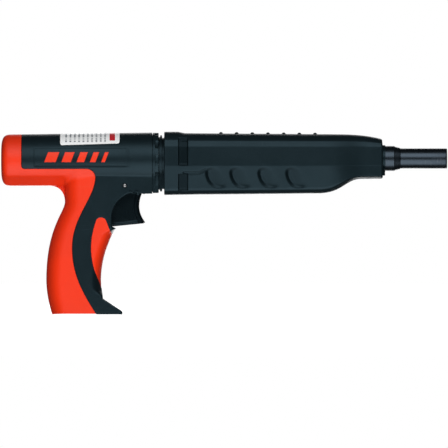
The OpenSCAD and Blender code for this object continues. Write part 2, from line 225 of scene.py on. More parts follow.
def make_piece(name, points, faces, body, node, slot, smooth_angle=40.0, recess=None):
    """Mesh object from points in millimetres and quads whose repeated corners are dropped. It moves with
    its body, takes the CAD node's place and has its slot's finish. The optional last argument is painted
    shade for each point, from 0 to 1, which the finish paints darker and less glossy."""
    mesh = bpy.data.meshes.new(name)
    clean = []
    for f in faces.tolist():
        ring = [v for k, v in enumerate(f) if v != f[k - 1]]
        if len(set(ring)) > 2:
            clean.append(ring)
    mesh.from_pydata((np.asarray(points) * MM).tolist(), [], clean)
    # Painted shade per point, for the finish to darken: it stands in for the shade in hollows.
    if recess is not None:
        shade = mesh.attributes.new("recess", "FLOAT", "POINT")
        shade.data.foreach_set("value", np.asarray(recess, np.float32))
    mesh.validate()
    mesh.update()
    mesh.materials.append(finish_of(slot))
    mesh.shade_smooth()
    mesh.set_sharp_from_angle(angle=math.radians(smooth_angle))
    obj = linked(name, mesh)
    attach(obj, body)
    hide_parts(node)
    return obj


def closed_between(points, other, faces):
    """Joins an open net and its counterpart, point for point, along their common rim."""
    edges = np.concatenate([faces[:, [k, (k + 1) % 4]] for k in range(4)])
    edges = edges[edges[:, 0] != edges[:, 1]]
    _, index, count = np.unique(np.sort(edges, 1), axis=0, return_inverse=True, return_counts=True)
    rim = edges[count[index.ravel()] == 1]
    n = len(points)
    rim_faces = np.stack([rim[:, 1], rim[:, 0], rim[:, 0] + n, rim[:, 1] + n], 1)
    return np.concatenate([points, other]), np.concatenate([faces, faces[:, ::-1] + n, rim_faces])


def walled(patches, base_patches, thickness, axis_z=None):
    """A closed shell: the outer surface is the welded patches, the inner one is the same net moved
    inwards by the wall's thickness along the normals of the patches before their rims were rolled."""
    points, faces, first = weld(patches, axis_z)
    base = np.concatenate([p.reshape(-1, 3) for p in base_patches])[first]
    return closed_between(points, base - vertex_normals(base, faces) * thickness, faces)


def make_pair(suffix, points, faces, body, node, slot, recess=None):
    """The right piece, and its mirror image on the left with its faces turned round."""
    pair = []
    for side, word in SIDES:
        placed = points * [1, -side, 1]
        outward = faces[:, ::-side]
        pair.append(make_piece(word + suffix, placed, outward, body, word + node, slot, recess=recess))
    return pair


def turned(profile, count):
    """Closed body of revolution about the bore axis: the profile's (x, r) points, a closed loop or
    ending on the axis, are carried round at r*cos, r*sin."""
    p = np.array(profile, float)
    a = np.linspace(0, 2 * np.pi, count, endpoint=False)[:, None]
    grid = xyz(p[:, 0], p[:, 1] * np.cos(a), p[:, 1] * np.sin(a))
    return grid.reshape(-1, 3), grid_faces(count, len(p), close_rows=True, close_columns=True)[:, ::-1]


def bevelled(corners, radius, steps=3):
    """Rounds every corner of a closed profile by a short arc that leaves and meets its sides at
    radius from the corner. A corner's third number, if it has one, is its own radius."""
    out = []
    n = len(corners)
    for k in range(n):
        here = np.array(corners[k][:2], float)
        r = corners[k][2] if len(corners[k]) > 2 else radius
        back = np.array(corners[k - 1][:2], float) - here
        ahead = np.array(corners[(k + 1) % n][:2], float) - here
        if r <= 0:
            out.append(here)
            continue
        a = here + back / np.linalg.norm(back) * min(r, 0.45 * np.linalg.norm(back))
        b = here + ahead / np.linalg.norm(ahead) * min(r, 0.45 * np.linalg.norm(ahead))
        for t in np.linspace(0, 1, steps + 1):
            out.append((1 - t) ** 2 * a + 2 * t * (1 - t) * here + t * t * b)
    return np.array(out)


def swept(path, across, up, wire, sides=10):
    """Rings of points round a path: a circle of the wire's radius in the plane of across and up."""
    b = 2 * np.pi * np.arange(sides)[:, None] / sides
    return path[:, None] + wire * (np.cos(b) * across[:, None] + np.sin(b) * up[:, None])


def coil(start, end, radius, turns, wire, steps_per_turn=28, flat_turns=0.9):
    """Compression spring wire: the path is radius * (cos, sin) round X while x eases from one end to
    the other, with flat_turns of closed coil at each end."""
    count = int(turns * steps_per_turn)
    u = np.linspace(0, 1, count)
    a = 2 * np.pi * turns * u
    slope = smooth(0, flat_turns / turns, u) * (1 - smooth(1 - flat_turns / turns, 1, u)) + 0.12
    x = np.append(0, np.cumsum(0.5 * (slope[1:] + slope[:-1])))
    x = start + wire + (end - start - 2 * wire) * x / x[-1]
    path = xyz(x, radius * np.cos(a), radius * np.sin(a))
    return swept(path, xyz(0.0, np.cos(a), np.sin(a)), np.array([[1.0, 0.0, 0.0]]), wire)


def tube_faces(rings):
    """Quads round a swept tube, with its two ends closed by a point at each end ring's middle."""
    n, sides = rings.shape[:2]
    points = np.concatenate([rings.reshape(-1, 3), rings[:1].mean(1), rings[-1:].mean(1)])
    here = np.arange(sides)
    ahead = (here + 1) % sides
    tip = np.full(sides, n * sides)
    last = (n - 1) * sides
    first_end = np.stack([ahead, here, tip, tip], 1)
    last_end = np.stack([here + last, ahead + last, tip + 1, tip + 1], 1)
    return points, np.concatenate([grid_faces(n, sides, close_columns=True), first_end, last_end])[:, ::-1]


# ---------------------------------------------------------------- handle outlines, in (x, z)

CAP_CORNER = (-331.5, -5.8)
CAP_CORNER_R = 2.5
SEAM_Z = -8.3
SEAM_TOP = [(CAP_FRONT_X, 30.0), (CAP_FRONT_X, CAP_CORNER[1])]
SEAM = chain(
    arc(CAP_CORNER, CAP_CORNER_R, 180, 270, 9),
    arc((-283.0, -15.3), 7.0, 90, 0, 15),
    bezier([(-276.0, -15.3), (-276.6, -31.0), (-294.2, -46.0), (-294.2, -70.0)], 40),
    bezier([(-294.2, -70.0), (-294.2, -90.0), (-287.0, -104.0), (-275.0, HEEL_Z)], 40))
UNDERSIDE_Z = -21.4
BACK = chain(
    [(CAP_FRONT_X, UNDERSIDE_Z)],
    bezier([(-312.0, UNDERSIDE_Z), (-304.0, UNDERSIDE_Z), (-300.0, -27.0), (-300.0, -34.0)], 24),
    bezier([(-300.0, -34.0), (-300.0, -42.0), (-314.6, -54.0), (-314.6, -95.0)], 50),
    bezier([(-314.6, -95.0), (-314.6, -106.0), (-312.0, -116.0), (-310.0, HEEL_Z)], 24))
GRIP_BACK = chain([(-300.0, 12.0)], BACK[BACK[:, 1] < -33.9])
CUTOUT_CENTRE = (-243.1, -46.4)
GRIP_FRONT = chain(
    bezier([(-261.5, -56.5), (-268.0, -70.0), (-271.7, -82.0), (-271.7, -96.0)], 40),
    [(-270.2, -110.0)])
FRONT = chain(
    [(RECEIVER_FRONT_X, SEAM_Z), (RECEIVER_FRONT_X, BLOCK_Z), (-240.0, BLOCK_Z)],
    arc(CUTOUT_CENTRE, 19.9, 90, 180, 24),
    [(-263.0, -53.4), (-259.9, -54.9)],
    GRIP_FRONT,
    [(-255.6, -119.5), (-254.8, -121.0), (-255.0, HEEL_Z)])
STRAP_LEFT = chain(
    arc((-271.6, -50.6), 4.4, 90, 180, 10),
    bezier([(-276.0, -50.6), (-280.6, -63.5), (-280.7, -78.0), (-275.4, -90.7)], 24),
    [(-272.9, -97.0), (-271.45, -101.2)])
STRAP_RIGHT = chain(
    arc((-271.6, -50.6), 4.4, 90, 20, 8),
    [(-264.8, -56.2), (-262.9, -59.4)],
    GRIP_FRONT[(GRIP_FRONT[:, 1] < -59.6) & (GRIP_FRONT[:, 1] > -101.0)],
    [(-271.45, -101.2)])

GRIP_HALF_W = 16.2
DOME_DEPTH = 10.0
DOME_X = REAR_X + DOME_DEPTH
ROLL = 0.45
ROLL_STEPS = np.array([0, 0.03, 0.09, 0.18, 0.3, 0.45])
TRIGGER_SLOT = 6.6
TOP_Z = 18.9
TOP_RISE = 1.5 / 107.0
DOME_POWER = 0.21
TUBE_HOLE_R = 15.6
GRIP_ROUND = 12.0
GRIP_REAR_X = -318.0


def receiver_radius(x):
    """The receiver swells a little towards the front: its top rises on a straight line from TOP_Z at
    x = -340, while its underside stays level. Behind DOME_X, (1 - u^4)^DOME_POWER closes it."""
    top = TOP_Z + (np.maximum(x, DOME_X) + 340.0) * TOP_RISE
    u = np.clip((DOME_X - x) / DOME_DEPTH, 0, 1)
    return 0.5 * (top - UNDERSIDE_Z) * (1 - u ** 4) ** DOME_POWER, 0.5 * (top + UNDERSIDE_Z)


def chamfered(y, z, scale=1.0):
    """Cuts a flat along the receiver's lower side: from edge_y at edge_z the half width y falls by slope
    for each mm down, to no less than least_y. scale shrinks the flat with the rear dome."""
    edge_y, edge_z, slope, least_y = 14.55, -14.6, 1.75, 2.0
    centre = 0.5 * (TOP_Z + UNDERSIDE_Z)
    flat = scale * (edge_y + slope * ((z - centre) / scale + centre - edge_z))
    return np.where(z < centre, np.minimum(y, np.maximum(flat, scale * least_y)), y)


def half_width(x, z):
    """Half of the handle's thickness at a point of its side view. The round receiver and the flat grip
    are each a height, and the larger is taken with a fillet; a quarter ellipse rounds the grip's back
    and its front, and a circle from the back's outline closes the fillet. Behind GRIP_REAR_X there is
    only the receiver."""
    radius, centre = receiver_radius(x)
    receiver = np.sqrt(np.maximum(radius ** 2 - (z - centre) ** 2, 0))
    receiver = np.where(x < -300, chamfered(receiver, z), receiver)
    back_x = np.interp(-z, -GRIP_BACK[:, 1], GRIP_BACK[:, 0])
    from_back = distance_to(GRIP_BACK, x, z) * np.where(x > back_x, 1, -1)
    from_front = distance_to(FRONT[2:], x, z)
    long_round = window(z, -53, -60, -102, -109)
    rim = 1.1
    rim_x = rim + 7.0 * long_round
    rim_y = rim + (GRIP_HALF_W - rim) * long_round
    grip = GRIP_HALF_W * round_over(from_back, GRIP_ROUND)
    grip = grip - rim_y * (1 - round_over(from_front, rim_x)) * np.where(z < -14, 1, 0)
    fillet = 0.4 + 2.6 * (1 - smooth(-290, -277, x))
    height = np.where(z > 0, receiver, soft_max(receiver, np.maximum(grip, 0), fillet))
    cap = radius * round_over(distance_to(BACK, x, z), radius)
    low = (z < -15) & (x < -285)
    height = np.where(low, -soft_max(-height, -cap, 0.6), height)
    return np.where(x < GRIP_REAR_X, receiver, np.maximum(height, 0))


def walk(line, points, counts):
    """Points along a line that pass nearest each given point, with counts[i] even steps between two."""
    fine_count = 4000
    fine = resample(line, fine_count)
    at = [np.linalg.norm(fine - np.array(p), axis=1).argmin() for p in points]
    steps = [np.linspace(at[i], at[i + 1], n + 1)[1:] for i, n in enumerate(counts)]
    at = np.concatenate([[at[0]]] + steps)
    return np.stack([np.interp(at, np.arange(fine_count), fine[:, k]) for k in range(2)], 1)


def ribbon(seam_side, far_side, columns):
    """Straight rows from each seam point to its partner. Rows are dense near the seam, where the rim
    rolls over, and near the far side, where the surface turns edge-on: distance = sin of the step."""
    length = np.linalg.norm(far_side - seam_side, axis=1)[:, None]
    w = np.sin(0.5 * np.pi * np.linspace(0, 1, columns - len(ROLL_STEPS) + 1)[1:])[None]
    near = np.minimum(ROLL_STEPS[-1], length * 0.5)
    d = np.concatenate([ROLL_STEPS[None] / ROLL_STEPS[-1] * near, near + (length - near) * w], 1)
    t = (d / np.maximum(length, 1e-9))[..., None]
    return seam_side[:, None] * (1 - t) + far_side[:, None] * t


def lift(side_view):
    """Adds the right side's y to an (x, z) grid."""
    x, z = side_view[..., 0], side_view[..., 1]
    return xyz(x, -half_width(x, z), z)


def grid_normals(grid):
    """Unit normals of a grid of points from its row and column differences; on the parting plane
    they are kept in the plane, so that both halves meet."""
    rows, columns = np.gradient(grid, axis=0), np.gradient(grid, axis=1)
    n = np.cross(rows, columns)
    n[np.abs(grid[..., 1]) < 1e-6, 1] = 0
    return n / np.maximum(np.linalg.norm(n, axis=-1, keepdims=True), 1e-9)


def rolled(grid, drop):
    """Moves a grid inwards along its normals by drop. The normals are first turned to point away from
    the parting plane."""
    normals = grid_normals(grid)
    if (normals[..., 1] * grid[..., 1]).sum() < 0:
        normals = -normals
    return grid - normals * drop[..., None]


def seam_drop(grid):
    """Roll of the rim beside the overmould's seam, and of the heel's edge."""
    seam = chain(SEAM_TOP, SEAM)
    x, z = grid[..., 0], grid[..., 2]
    return edge_drop(distance_to(seam, x, z), ROLL) + edge_drop(z - HEEL_Z, 0.8)


def closed_heel(grid):
    """Adds rows that carry the last row's edge flat to the parting plane."""
    x, y = grid[-1, :, 0], grid[-1, :, 1]
    rows = [xyz(x, y * k, HEEL_Z) for k in (0.9, 0.6, 0.3, 0.0)]
    return np.concatenate([grid, np.array(rows)])


def overmould_patches():
    """Rear cap and the ribbon from the seam to the receiver's underside and the grip's back. The two
    meet at CAP_FRONT_X, so the cap's lower points are at the ribbon's heights."""
    seam_points = [(CAP_FRONT_X, CAP_CORNER[1]), (CAP_CORNER[0], SEAM_Z), (-308, SEAM_Z), (-283, SEAM_Z),
                   (-276, -15.3), (-282.5, -31), (-294.2, -70), (-275, HEEL_Z)]
    back_points = [(CAP_FRONT_X, UNDERSIDE_Z), (CAP_CORNER[0], UNDERSIDE_Z), (-312, UNDERSIDE_Z),
                   (-304.6, -23), (-300.3, -30), (-300.6, -38), (-312, -72), (-310, HEEL_Z)]
    counts = [6, 14, 16, 12, 18, 34, 50]
    flat = ribbon(walk(SEAM, seam_points, counts), walk(BACK, back_points, counts), 34)
    lower = lift(flat)
    radius, centre = receiver_radius(CAP_FRONT_X)
    upper_angle = np.linspace(0, np.arccos((CAP_CORNER[1] - centre) / radius), 40)
    lower_angle = np.arccos(np.clip((flat[0, :, 1] - centre) / radius, -1, 1))
    angle = np.append(upper_angle, lower_angle[1:])
    t = np.linspace(0, np.radians(72.8), 22)
    shrink = np.append(np.cos(t) ** (2 * DOME_POWER), np.linspace(0.6, 0, 12)[1:])
    dome_x = DOME_X - DOME_DEPTH * (1 - np.minimum(shrink, 1) ** (1 / DOME_POWER)) ** 0.25
    x = np.concatenate([CAP_FRONT_X - ROLL_STEPS, np.linspace(CAP_FRONT_X - 1, DOME_X, 8), dome_x[1:]])
    shrink = np.append(np.ones(len(ROLL_STEPS) + 8), shrink[1:])
    radius, centre = receiver_radius(np.maximum(x, DOME_X))
    r = (radius * shrink)[:, None]
    z = centre[:, None] + r * np.cos(angle)
    y = chamfered(r * np.sin(angle), z, np.maximum(shrink, 1e-3)[:, None])
    cap = xyz(x[:, None], -y, z)
    cap[:, 0, 1] = 0
    cap[:, -1, 1] = 0
    lower[:, -1, 1] = 0
    return [cap, lower]


def housing_patches():
    """Round receiver above the seam, the ribbon from the seam to the trigger housing's and the grip's
    front, and the share of its depth that the panel round the bars has at each point of the receiver."""
    seam_points = [(-283, SEAM_Z), (-276.25, -13.4), (-276, -16.5), (-276.2, -19.5), (-277, -22.5),
                   (-287.5, -40), (-291.3, -50), (-291.9, -52), (-292.4, -54), (-294.2, -73), (-290.5, -94),
                   (-283.5, -110), (-277.2, -119.5), (-276, -121.2), (-275, HEEL_Z)]
    front_points = [(RECEIVER_FRONT_X, SEAM_Z), (RECEIVER_FRONT_X, -13.4), (RECEIVER_FRONT_X, BLOCK_Z),
                    (-240, BLOCK_Z), (-243.1, -26.5), (-260.3, -36.5), (-263, -53.4), (-259.9, -54.9),
                    (-261.5, -56.5), (-268.6, -73), (-271.7, -96), (-270.2, -110), (-255.6, -119.5),
                    (-254.8, -121), (-255, HEEL_Z)]
    counts = [8, 14, 8, 6, 20, 14, 4, 3, 16, 20, 14, 10, 4, 6]
    flat = ribbon(walk(SEAM, seam_points, counts), walk(FRONT, front_points, counts), 44)
    lower = lift(flat)
    seam_x = np.concatenate([CAP_FRONT_X + ROLL_STEPS, np.linspace(-333.2, -331.5, 4),
                             np.linspace(-330.5, -324.6, 6), [-324.2, -323.8, -323.4],
                             np.linspace(-322, -284, 34)])
    x = np.append(seam_x, flat[0, :, 0])
    radius, centre = receiver_radius(x)
    step = CAP_CORNER[0] - x
    corner = CAP_CORNER[1] - np.sqrt(np.maximum(CAP_CORNER_R ** 2 - step ** 2, 0))
    low = np.where(step > 0, corner, SEAM_Z)
    join_z = 12.0
    u = np.linspace(0, 1, 26)[:-1]
    upper = centre[:, None] + radius[:, None] * np.cos(u * np.arccos((join_z - centre) / radius)[:, None])
    middle = np.concatenate([np.linspace(join_z, 8.6, 5), [8.2, 7.8, 7.4], np.linspace(6.5, -4.5, 12)])
    w = np.array([0.25, 0.45, 0.62, 0.78, 0.88, 0.94, 0.97, 0.99, 1.0])
    tail = middle[-1] + (low[:, None] - middle[-1]) * w
    z = np.concatenate([upper, np.broadcast_to(middle, (len(x), len(middle))), tail], 1)
    x = np.broadcast_to(x[:, None], z.shape)
    sleeve = xyz(x, -half_width(x, z), z)
    sleeve[:, 0, 1] = 0
    panel = window(x, -324.3, -323.7, -250.3, -249.7) * window(z, -6.8, -6.2, 7.7, 8.3)
    return [sleeve, lower], panel


def handle_wall(grid):
    """Adds columns that carry the ribbon's front edge inwards to the guide tube, to the trigger's slot
    or to the parting plane."""
    edge = grid[:, -1]
    x, z = edge[:, 0], edge[:, 2]
    slot = TRIGGER_SLOT * (x < -238) * (1 - smooth(-54.0, -57.0, z))
    tube = np.sqrt(np.maximum(TUBE_HOLE_R ** 2 - z ** 2, 0)) * (x > -235)
    stop = np.minimum(np.maximum(slot, tube), -edge[:, 1])
    columns = [xyz(x, -(stop + (-edge[:, 1] - stop) * k), z) for k in (0.85, 0.55, 0.25, 0.0)]
    return np.concatenate([grid, np.stack(columns, 1)], 1)


def strap_patch():
    """Front strap: rows from its rear edge to its front one. The casing is sunk under it."""
    left_points = [(-271.6, -46.2), (-276.0, -50.6), (-279.1, -66), (-275.4, -90.7), (-271.45, -101.2)]
    right_points = [(-271.6, -46.2), (-264.8, -56.2), (-264.5, -62), (-271.2, -88), (-271.45, -101.2)]
    counts = [16, 16, 26, 14]
    flat = ribbon(walk(STRAP_LEFT, left_points, counts), walk(STRAP_RIGHT, right_points, counts), 28)
    return lift(flat)


def inside_strap(x, z):
    """How deep a side-view point lies inside the front strap's outline, 0 outside it."""
    left = np.interp(-z, -STRAP_LEFT[:, 1], STRAP_LEFT[:, 0])
    right = np.interp(-z, -STRAP_RIGHT[:, 1], STRAP_RIGHT[:, 0])
    inside = (x > left) & (x < right + 0.5) & (z < STRAP_LEFT[0, 1]) & (z > STRAP_LEFT[-1, 1])
    to_edge = np.minimum(distance_to(STRAP_LEFT, x, z), distance_to(STRAP_RIGHT[:20], x, z))
    return np.where(inside, to_edge, 0)


# ---------------------------------------------------------------- foregrip

FLAT_HALF_W = 22.0
FLAT_LOW, FLAT_HIGH = -5.5, 9.0
SECTION_LOW, SECTION_HIGH = -28.7, 21.0
FOREGRIP_TOP = chain([(-222.0, 21.0), (-211.0, 21.0), (-206.0, 19.9), (-85.0, 19.0)],
                     bezier([(-85.0, 19.0), (-72.0, 18.9), (-62.0, 18.0), (-52.5, 15.6)], 20),
                     [(-50.5, 14.9)])
FOREGRIP_BOTTOM = chain([(-222.0, -28.7), (-195.0, -28.3), (-100.0, -27.4)],
                        bezier([(-100.0, -27.4), (-82.0, -26.9), (-80.0, -16.3), (-67.0, -16.1)], 30),
                        [(-50.5, -15.9)])
SECTION = chain([(0.0, 21.0), (8.0, 21.0)],
                bezier([(8.0, 21.0), (12.5, 20.9), (17.0, 18.7), (20.2, 14.4)], 12),
                bezier([(20.2, 14.4), (21.2, 11.8), (22.0, 10.0), (22.0, 9.0)], 8),
                [(22.0, -5.1)],
                bezier([(22.0, -5.1), (22.0, -5.5), (21.96, -5.9), (21.9, -6.3)], 4),
                [(19.2, -23.0)],
                bezier([(19.2, -23.0), (19.05, -24.3), (18.7, -24.9), (18.2, -25.6)], 8),
                bezier([(18.2, -25.6), (16.0, -27.4), (14.4, -28.7), (12.0, -28.7)], 8),
                [(0.0, -28.7)])
RIB_STEP, RIB_COUNT, RIB_HEIGHT = 12.3, 7, 1.05
FIRST_RIB_X = -177.5
RIBS_TOP_Z = 20.9
SCALLOP_LEFTS = (-189.6, -170.6, -148.6, -126.8)
SCALLOP_R, SCALLOP_Z, SCALLOP_DEPTH = 9.0, -15.0, 2.3
SLEEVE_R, SLEEVE_HALF_W, SLEEVE_LOW_Z = 17.7, 12.0, -25.2
BUSH_R = 10.6


def scallop_depth(x, z):
    """Four finger hollows: each drops steeply inside a leaning oval's rear and bottom edges, and comes
    back level towards its upper front."""
    depth = np.zeros_like(x)
    for left in SCALLOP_LEFTS:
        lean = 0.34 * (SCALLOP_Z - z)
        u = (x - (left + SCALLOP_R + lean)) / SCALLOP_R
        w = (z - SCALLOP_Z) / SCALLOP_R
        rho = (np.abs(u) ** 2.5 + np.abs(w) ** 2.5) ** (1 / 2.5)
        wall = smooth(0, 0.4, 1 - rho)
        depth = np.maximum(depth, SCALLOP_DEPTH * wall * smooth(0.75, -1.0, 0.95 * u + 0.12 * w))
    return depth


def upright_band(x):
    """1 on the upright band behind the scallops, 0 off it."""
    return window(x, -211.0, -210.2, -204.0, -203.2)


def foregrip_depth(x, z):
    """Hollows in the foregrip's side: the scallops, the upright band behind them in two parts, and
    the line that runs from the band to the first scallop."""
    upper = window(z, -5.6, -4.8, 15.0, 16.5)
    lower = window(z, -25.6, -24.8, -12.6, -11.9)
    line_z = -11.3 + 2.8 * smooth(-196, -188, x)
    line = window(x, -207.5, -206.5, -190.0, -188.0) * smooth(1.5, 0.3, np.abs(z - line_z))
    hollow = 1.5 * upright_band(x) * np.maximum(upper, lower)
    return np.maximum(hollow, np.maximum(0.6 * line, scallop_depth(x, z)))


def foregrip_painted_shade(points):
    """Painted shade of the foregrip's hollows: even on the upright band, and on each wall as much as it is
    steep, up to a limit that grows upwards. It stays off the narrow nose and the rims that run in."""
    x, z = points[:, 0], points[:, 2]
    depth = foregrip_depth(x, z)
    step = 0.15
    slope = np.hypot(foregrip_depth(x + step, z) - depth, foregrip_depth(x, z + step) - depth) / step
    band_shade = 0.55 * upright_band(x) * smooth(0.3, 1.2, depth)
    wall_shade = np.clip(slope * 0.6, 0, 0.2 + 0.45 * smooth(-20, -9, z))
    return np.maximum(band_shade, wall_shade) * (np.abs(points[:, 1]) > 13)


def foregrip_patches():
    """One half of the foregrip, with its hollows and without them: a section carried along X and
    squeezed, above and below its flat side, to meet the top and bottom outlines. Towards the nose its
    lower side turns upright. End rows run in to the neck and to the nose bush."""
    ranges = ((FOREGRIP_REAR_X, -202, 0.42), (-202, -191, 0.8), (-191, -104, 0.52), (-104, -70, 1.0),
              (-70, -53, 0.8), (-53, FOREGRIP_FRONT_X, 0.25))
    x = np.concatenate([np.arange(a, b - 0.01, step) for a, b, step in ranges] + [[FOREGRIP_FRONT_X]])
    columns = walk(SECTION, [(0, 21), (8, 21), (20.2, 14.4), (22, 9), (22, -5.1), (21.9, -6.3), (19.2, -23),
                             (18.2, -25.6), (12, -28.7), (0, -28.7)], [10, 20, 10, 14, 3, 38, 7, 8, 8])
    section_y, section_z = columns[:, 0], columns[:, 1]
    top = np.interp(x, FOREGRIP_TOP[:, 0], FOREGRIP_TOP[:, 1])[:, None]
    bottom = np.interp(x, FOREGRIP_BOTTOM[:, 0], FOREGRIP_BOTTOM[:, 1])[:, None]
    above = FLAT_HIGH + (section_z - FLAT_HIGH) * (top - FLAT_HIGH) / (SECTION_HIGH - FLAT_HIGH)
    below = FLAT_LOW + (section_z - FLAT_LOW) * (bottom - FLAT_LOW) / (SECTION_LOW - FLAT_LOW)
    z = np.where(section_z > FLAT_HIGH, above, np.where(section_z < FLAT_LOW, below, section_z))
    narrow = 1 - 0.265 * smooth(-94, -60, x) - 0.03 * smooth(-62, -51, x)
    upright = smooth(-28, -23, section_z) * (FLAT_HALF_W - np.interp(section_z, [-23, -6.3], [19.2, 22.0]))
    y = -(section_y + upright * smooth(-96, -74, x)[:, None]) * narrow[:, None]
    x = np.broadcast_to(x[:, None], z.shape)
    base = np.stack([x, y, z], -1)
    ribs = sum(smooth(1.7, 0.7, np.abs(x - FIRST_RIB_X - RIB_STEP * i)) for i in range(RIB_COUNT))
    lift_z = RIB_HEIGHT * ribs * (section_z > 18) * smooth(9.6, 8.2, section_y)
    depth = foregrip_depth(x, z) * smooth(13.0, 17.0, -y)
    rim = edge_drop(FOREGRIP_FRONT_X - x, 1.6) + edge_drop(x - FOREGRIP_REAR_X, 0.5)
    main = rolled(base, depth + rim)
    main[..., 2] += np.minimum(lift_z, RIBS_TOP_Z - main[..., 2]) * (lift_z > 0)
    angle_y, angle_z = main[0, :, 1], main[0, :, 2]
    size = np.hypot(angle_y, angle_z)
    box = np.minimum(SLEEVE_HALF_W / np.maximum(np.abs(angle_y) / size, 1e-6),
                     np.abs(SLEEVE_LOW_Z) / np.maximum(-angle_z / size, 1e-6))
    inner = np.where(angle_z < 0, np.maximum(SLEEVE_R, box), SLEEVE_R)
    neck = xyz(main[0, :, 0], angle_y * inner / size, angle_z * inner / size)
    nose_size = np.hypot(main[-1, :, 1], main[-1, :, 2])
    bush = xyz(main[-1, :, 0], main[-1, :, 1] * BUSH_R / nose_size, main[-1, :, 2] * BUSH_R / nose_size)
    rear = np.stack([neck + (main[0] - neck) * k for k in np.linspace(0, 1, 5)])
    front = np.stack([main[-1] + (bush - main[-1]) * k for k in np.linspace(0, 1, 6)])
    grids = [np.concatenate([rear[:-1], middle, front[1:]]) for middle in (main, rolled(base, rim))]
    for grid in grids:
        grid[:, [0, -1], 1] = 0
    return grids


# ---------------------------------------------------------------- turned and swept parts

def outline_radius(angle, radius, centre_z, half_w, low_z):
    """Distance from the bore axis to the outline of a circle joined with a box under it, along a ray at
    angle from -Z: the farther of the two crossings."""
    dy, dz = np.sin(angle), -np.cos(angle)
    circle = dz * centre_z + np.sqrt(radius ** 2 - (dy * centre_z) ** 2)
    box = np.minimum(half_w / np.maximum(np.abs(dy), 1e-6), np.abs(low_z) / np.maximum(-dz, 1e-6))
    return np.where(dz < 0, np.maximum(circle, box), circle)


def block_ring(stations, outline, bore, count=432):
    """Closed ring: at each (x, inset) station the outline, pulled in by inset, is carried round the
    bore axis; the bore closes it."""
    angle = np.linspace(0, 2 * np.pi, count, endpoint=False)
    reach = outline(angle)
    rows = [(x, reach - inset(angle) if callable(inset) else reach - inset) for x, inset in stations]
    rows = [(stations[0][0], np.full(count, bore))] + rows + [(stations[-1][0], np.full(count, bore))]
    grid = np.stack([xyz(x, r * np.sin(angle), -r * np.cos(angle)) for x, r in rows])
    return grid.reshape(-1, 3), grid_faces(len(rows), count, close_rows=True, close_columns=True)


def ring_points():
    """Front ring of the receiver, with small round notches in its front edge, except under it."""
    notch_step = 38.0
    notch_half_w = 4.0

    def outline(angle):
        return outline_radius(angle, 20.8, -0.5, 16.0, -27.15)

    def notches(deep):
        def inset(angle):
            from_top = np.degrees(np.abs(np.where(angle > np.pi, 2 * np.pi - angle, angle) - np.pi))
            nearest = np.abs((from_top + 1.0) % notch_step - notch_step / 2)
            gap = 21.0 * np.radians(nearest) / notch_half_w
            return 0.15 + deep * np.sqrt(np.maximum(1 - gap ** 2, 0)) * (from_top < 145)
        return inset

    rear, front = RECEIVER_FRONT_X, RING_FRONT_X
    stations = [(rear, 1.2), (rear + 0.5, 1.2), (rear + 0.5, 0.3), (rear + 0.8, 0.05), (rear + 2.3, 0.05),
                (rear + 2.5, notches(0.3)), (rear + 2.7, notches(1.1)), (front - 0.6, notches(1.1)),
                (front - 0.25, notches(1.25)), (front, 0.9)]
    return block_ring(stations, outline, 15.02)


def neck_points():
    """Neck behind the foregrip: a narrow raised band between two grooves, the front one deeper."""
    def outline(angle):
        return outline_radius(angle, SLEEVE_R, 0.0, SLEEVE_HALF_W, SLEEVE_LOW_Z)

    low, high = node_box("neck_sleeve")
    stations = [(low[0] - 0.26, 0.75), (-225.35, 0.75), (-225.2, -0.5), (-225.0, -0.7), (-224.0, -0.7),
                (-223.8, -0.5), (-223.6, 1.4), (-222.2, 1.4), (-222.0, 0.05), (high[0], 0.05)]
    return block_ring(stations, outline, 16.22)


TRIGGER_FRONT = chain(
    [(-248.0, -18.1), (-244.6, -20.0)],
    bezier([(-244.6, -20.0), (-242.5, -22.5), (-240.8, -25.0), (-239.6, -27.6)], 10),
    bezier([(-239.6, -27.6), (-243.5, -37.0), (-241.5, -44.0), (-236.9, -50.0)], 30),
    [(-237.2, -50.6), (-238.0, -50.9)])


def trigger_points():
    """Right half of the trigger between its back and its front line, mirrored to the left. A quarter
    ellipse rounds the finger's face, and a shallow groove and a lip follow it on each side."""
    front = walk(TRIGGER_FRONT, [(-248, -18.1), (-239.6, -27.6), (-236.9, -50), (-238, -50.9)], [16, 44, 6])
    back_z = np.interp(np.arange(len(front)), [0, 16, 60, 66], [-18.1, -27.0, -52.3, -53.4])
    back_x = np.interp(-back_z, [18.1, 24.0, 60.0], [-256.0, -263.1, -263.1])
    back = np.stack([back_x, back_z], 1)
    even = 0.72
    dense = even + (1 - even) * np.sin(0.5 * np.pi * np.linspace(0, 1, 26))[1:]
    t = np.append(np.linspace(0, even, 26), dense)[None, :, None]
    flat = back[:, None] * (1 - t) + front[:, None] * t
    x, z = flat[..., 0], flat[..., 1]
    from_front = distance_to(TRIGGER_FRONT, x, z)
    low_edge = np.interp(x, [-262.3, -257.0, -238.0], [-53.4, -53.4, -50.9])
    y = 6.0 * (0.25 + 0.75 * round_over(from_front, 2.6)) - edge_drop(z - low_edge, 0.9)
    y = y - 0.5 * smooth(1.0, 0.3, np.abs(from_front - 4.6)) - 0.35 * smooth(5.0, 5.8, from_front)
    y = y - 0.35 * smooth(1.0, 0.3, np.abs(z - low_edge - 2.2)) * smooth(3.0, 6.0, from_front)
    y = np.where(from_front < 1e-6, 0, y)
    y[:, -1] = 0
    points, faces, _ = weld([xyz(x, -y, z)])
    return closed_between(points, points * [1, -1, 1], faces)


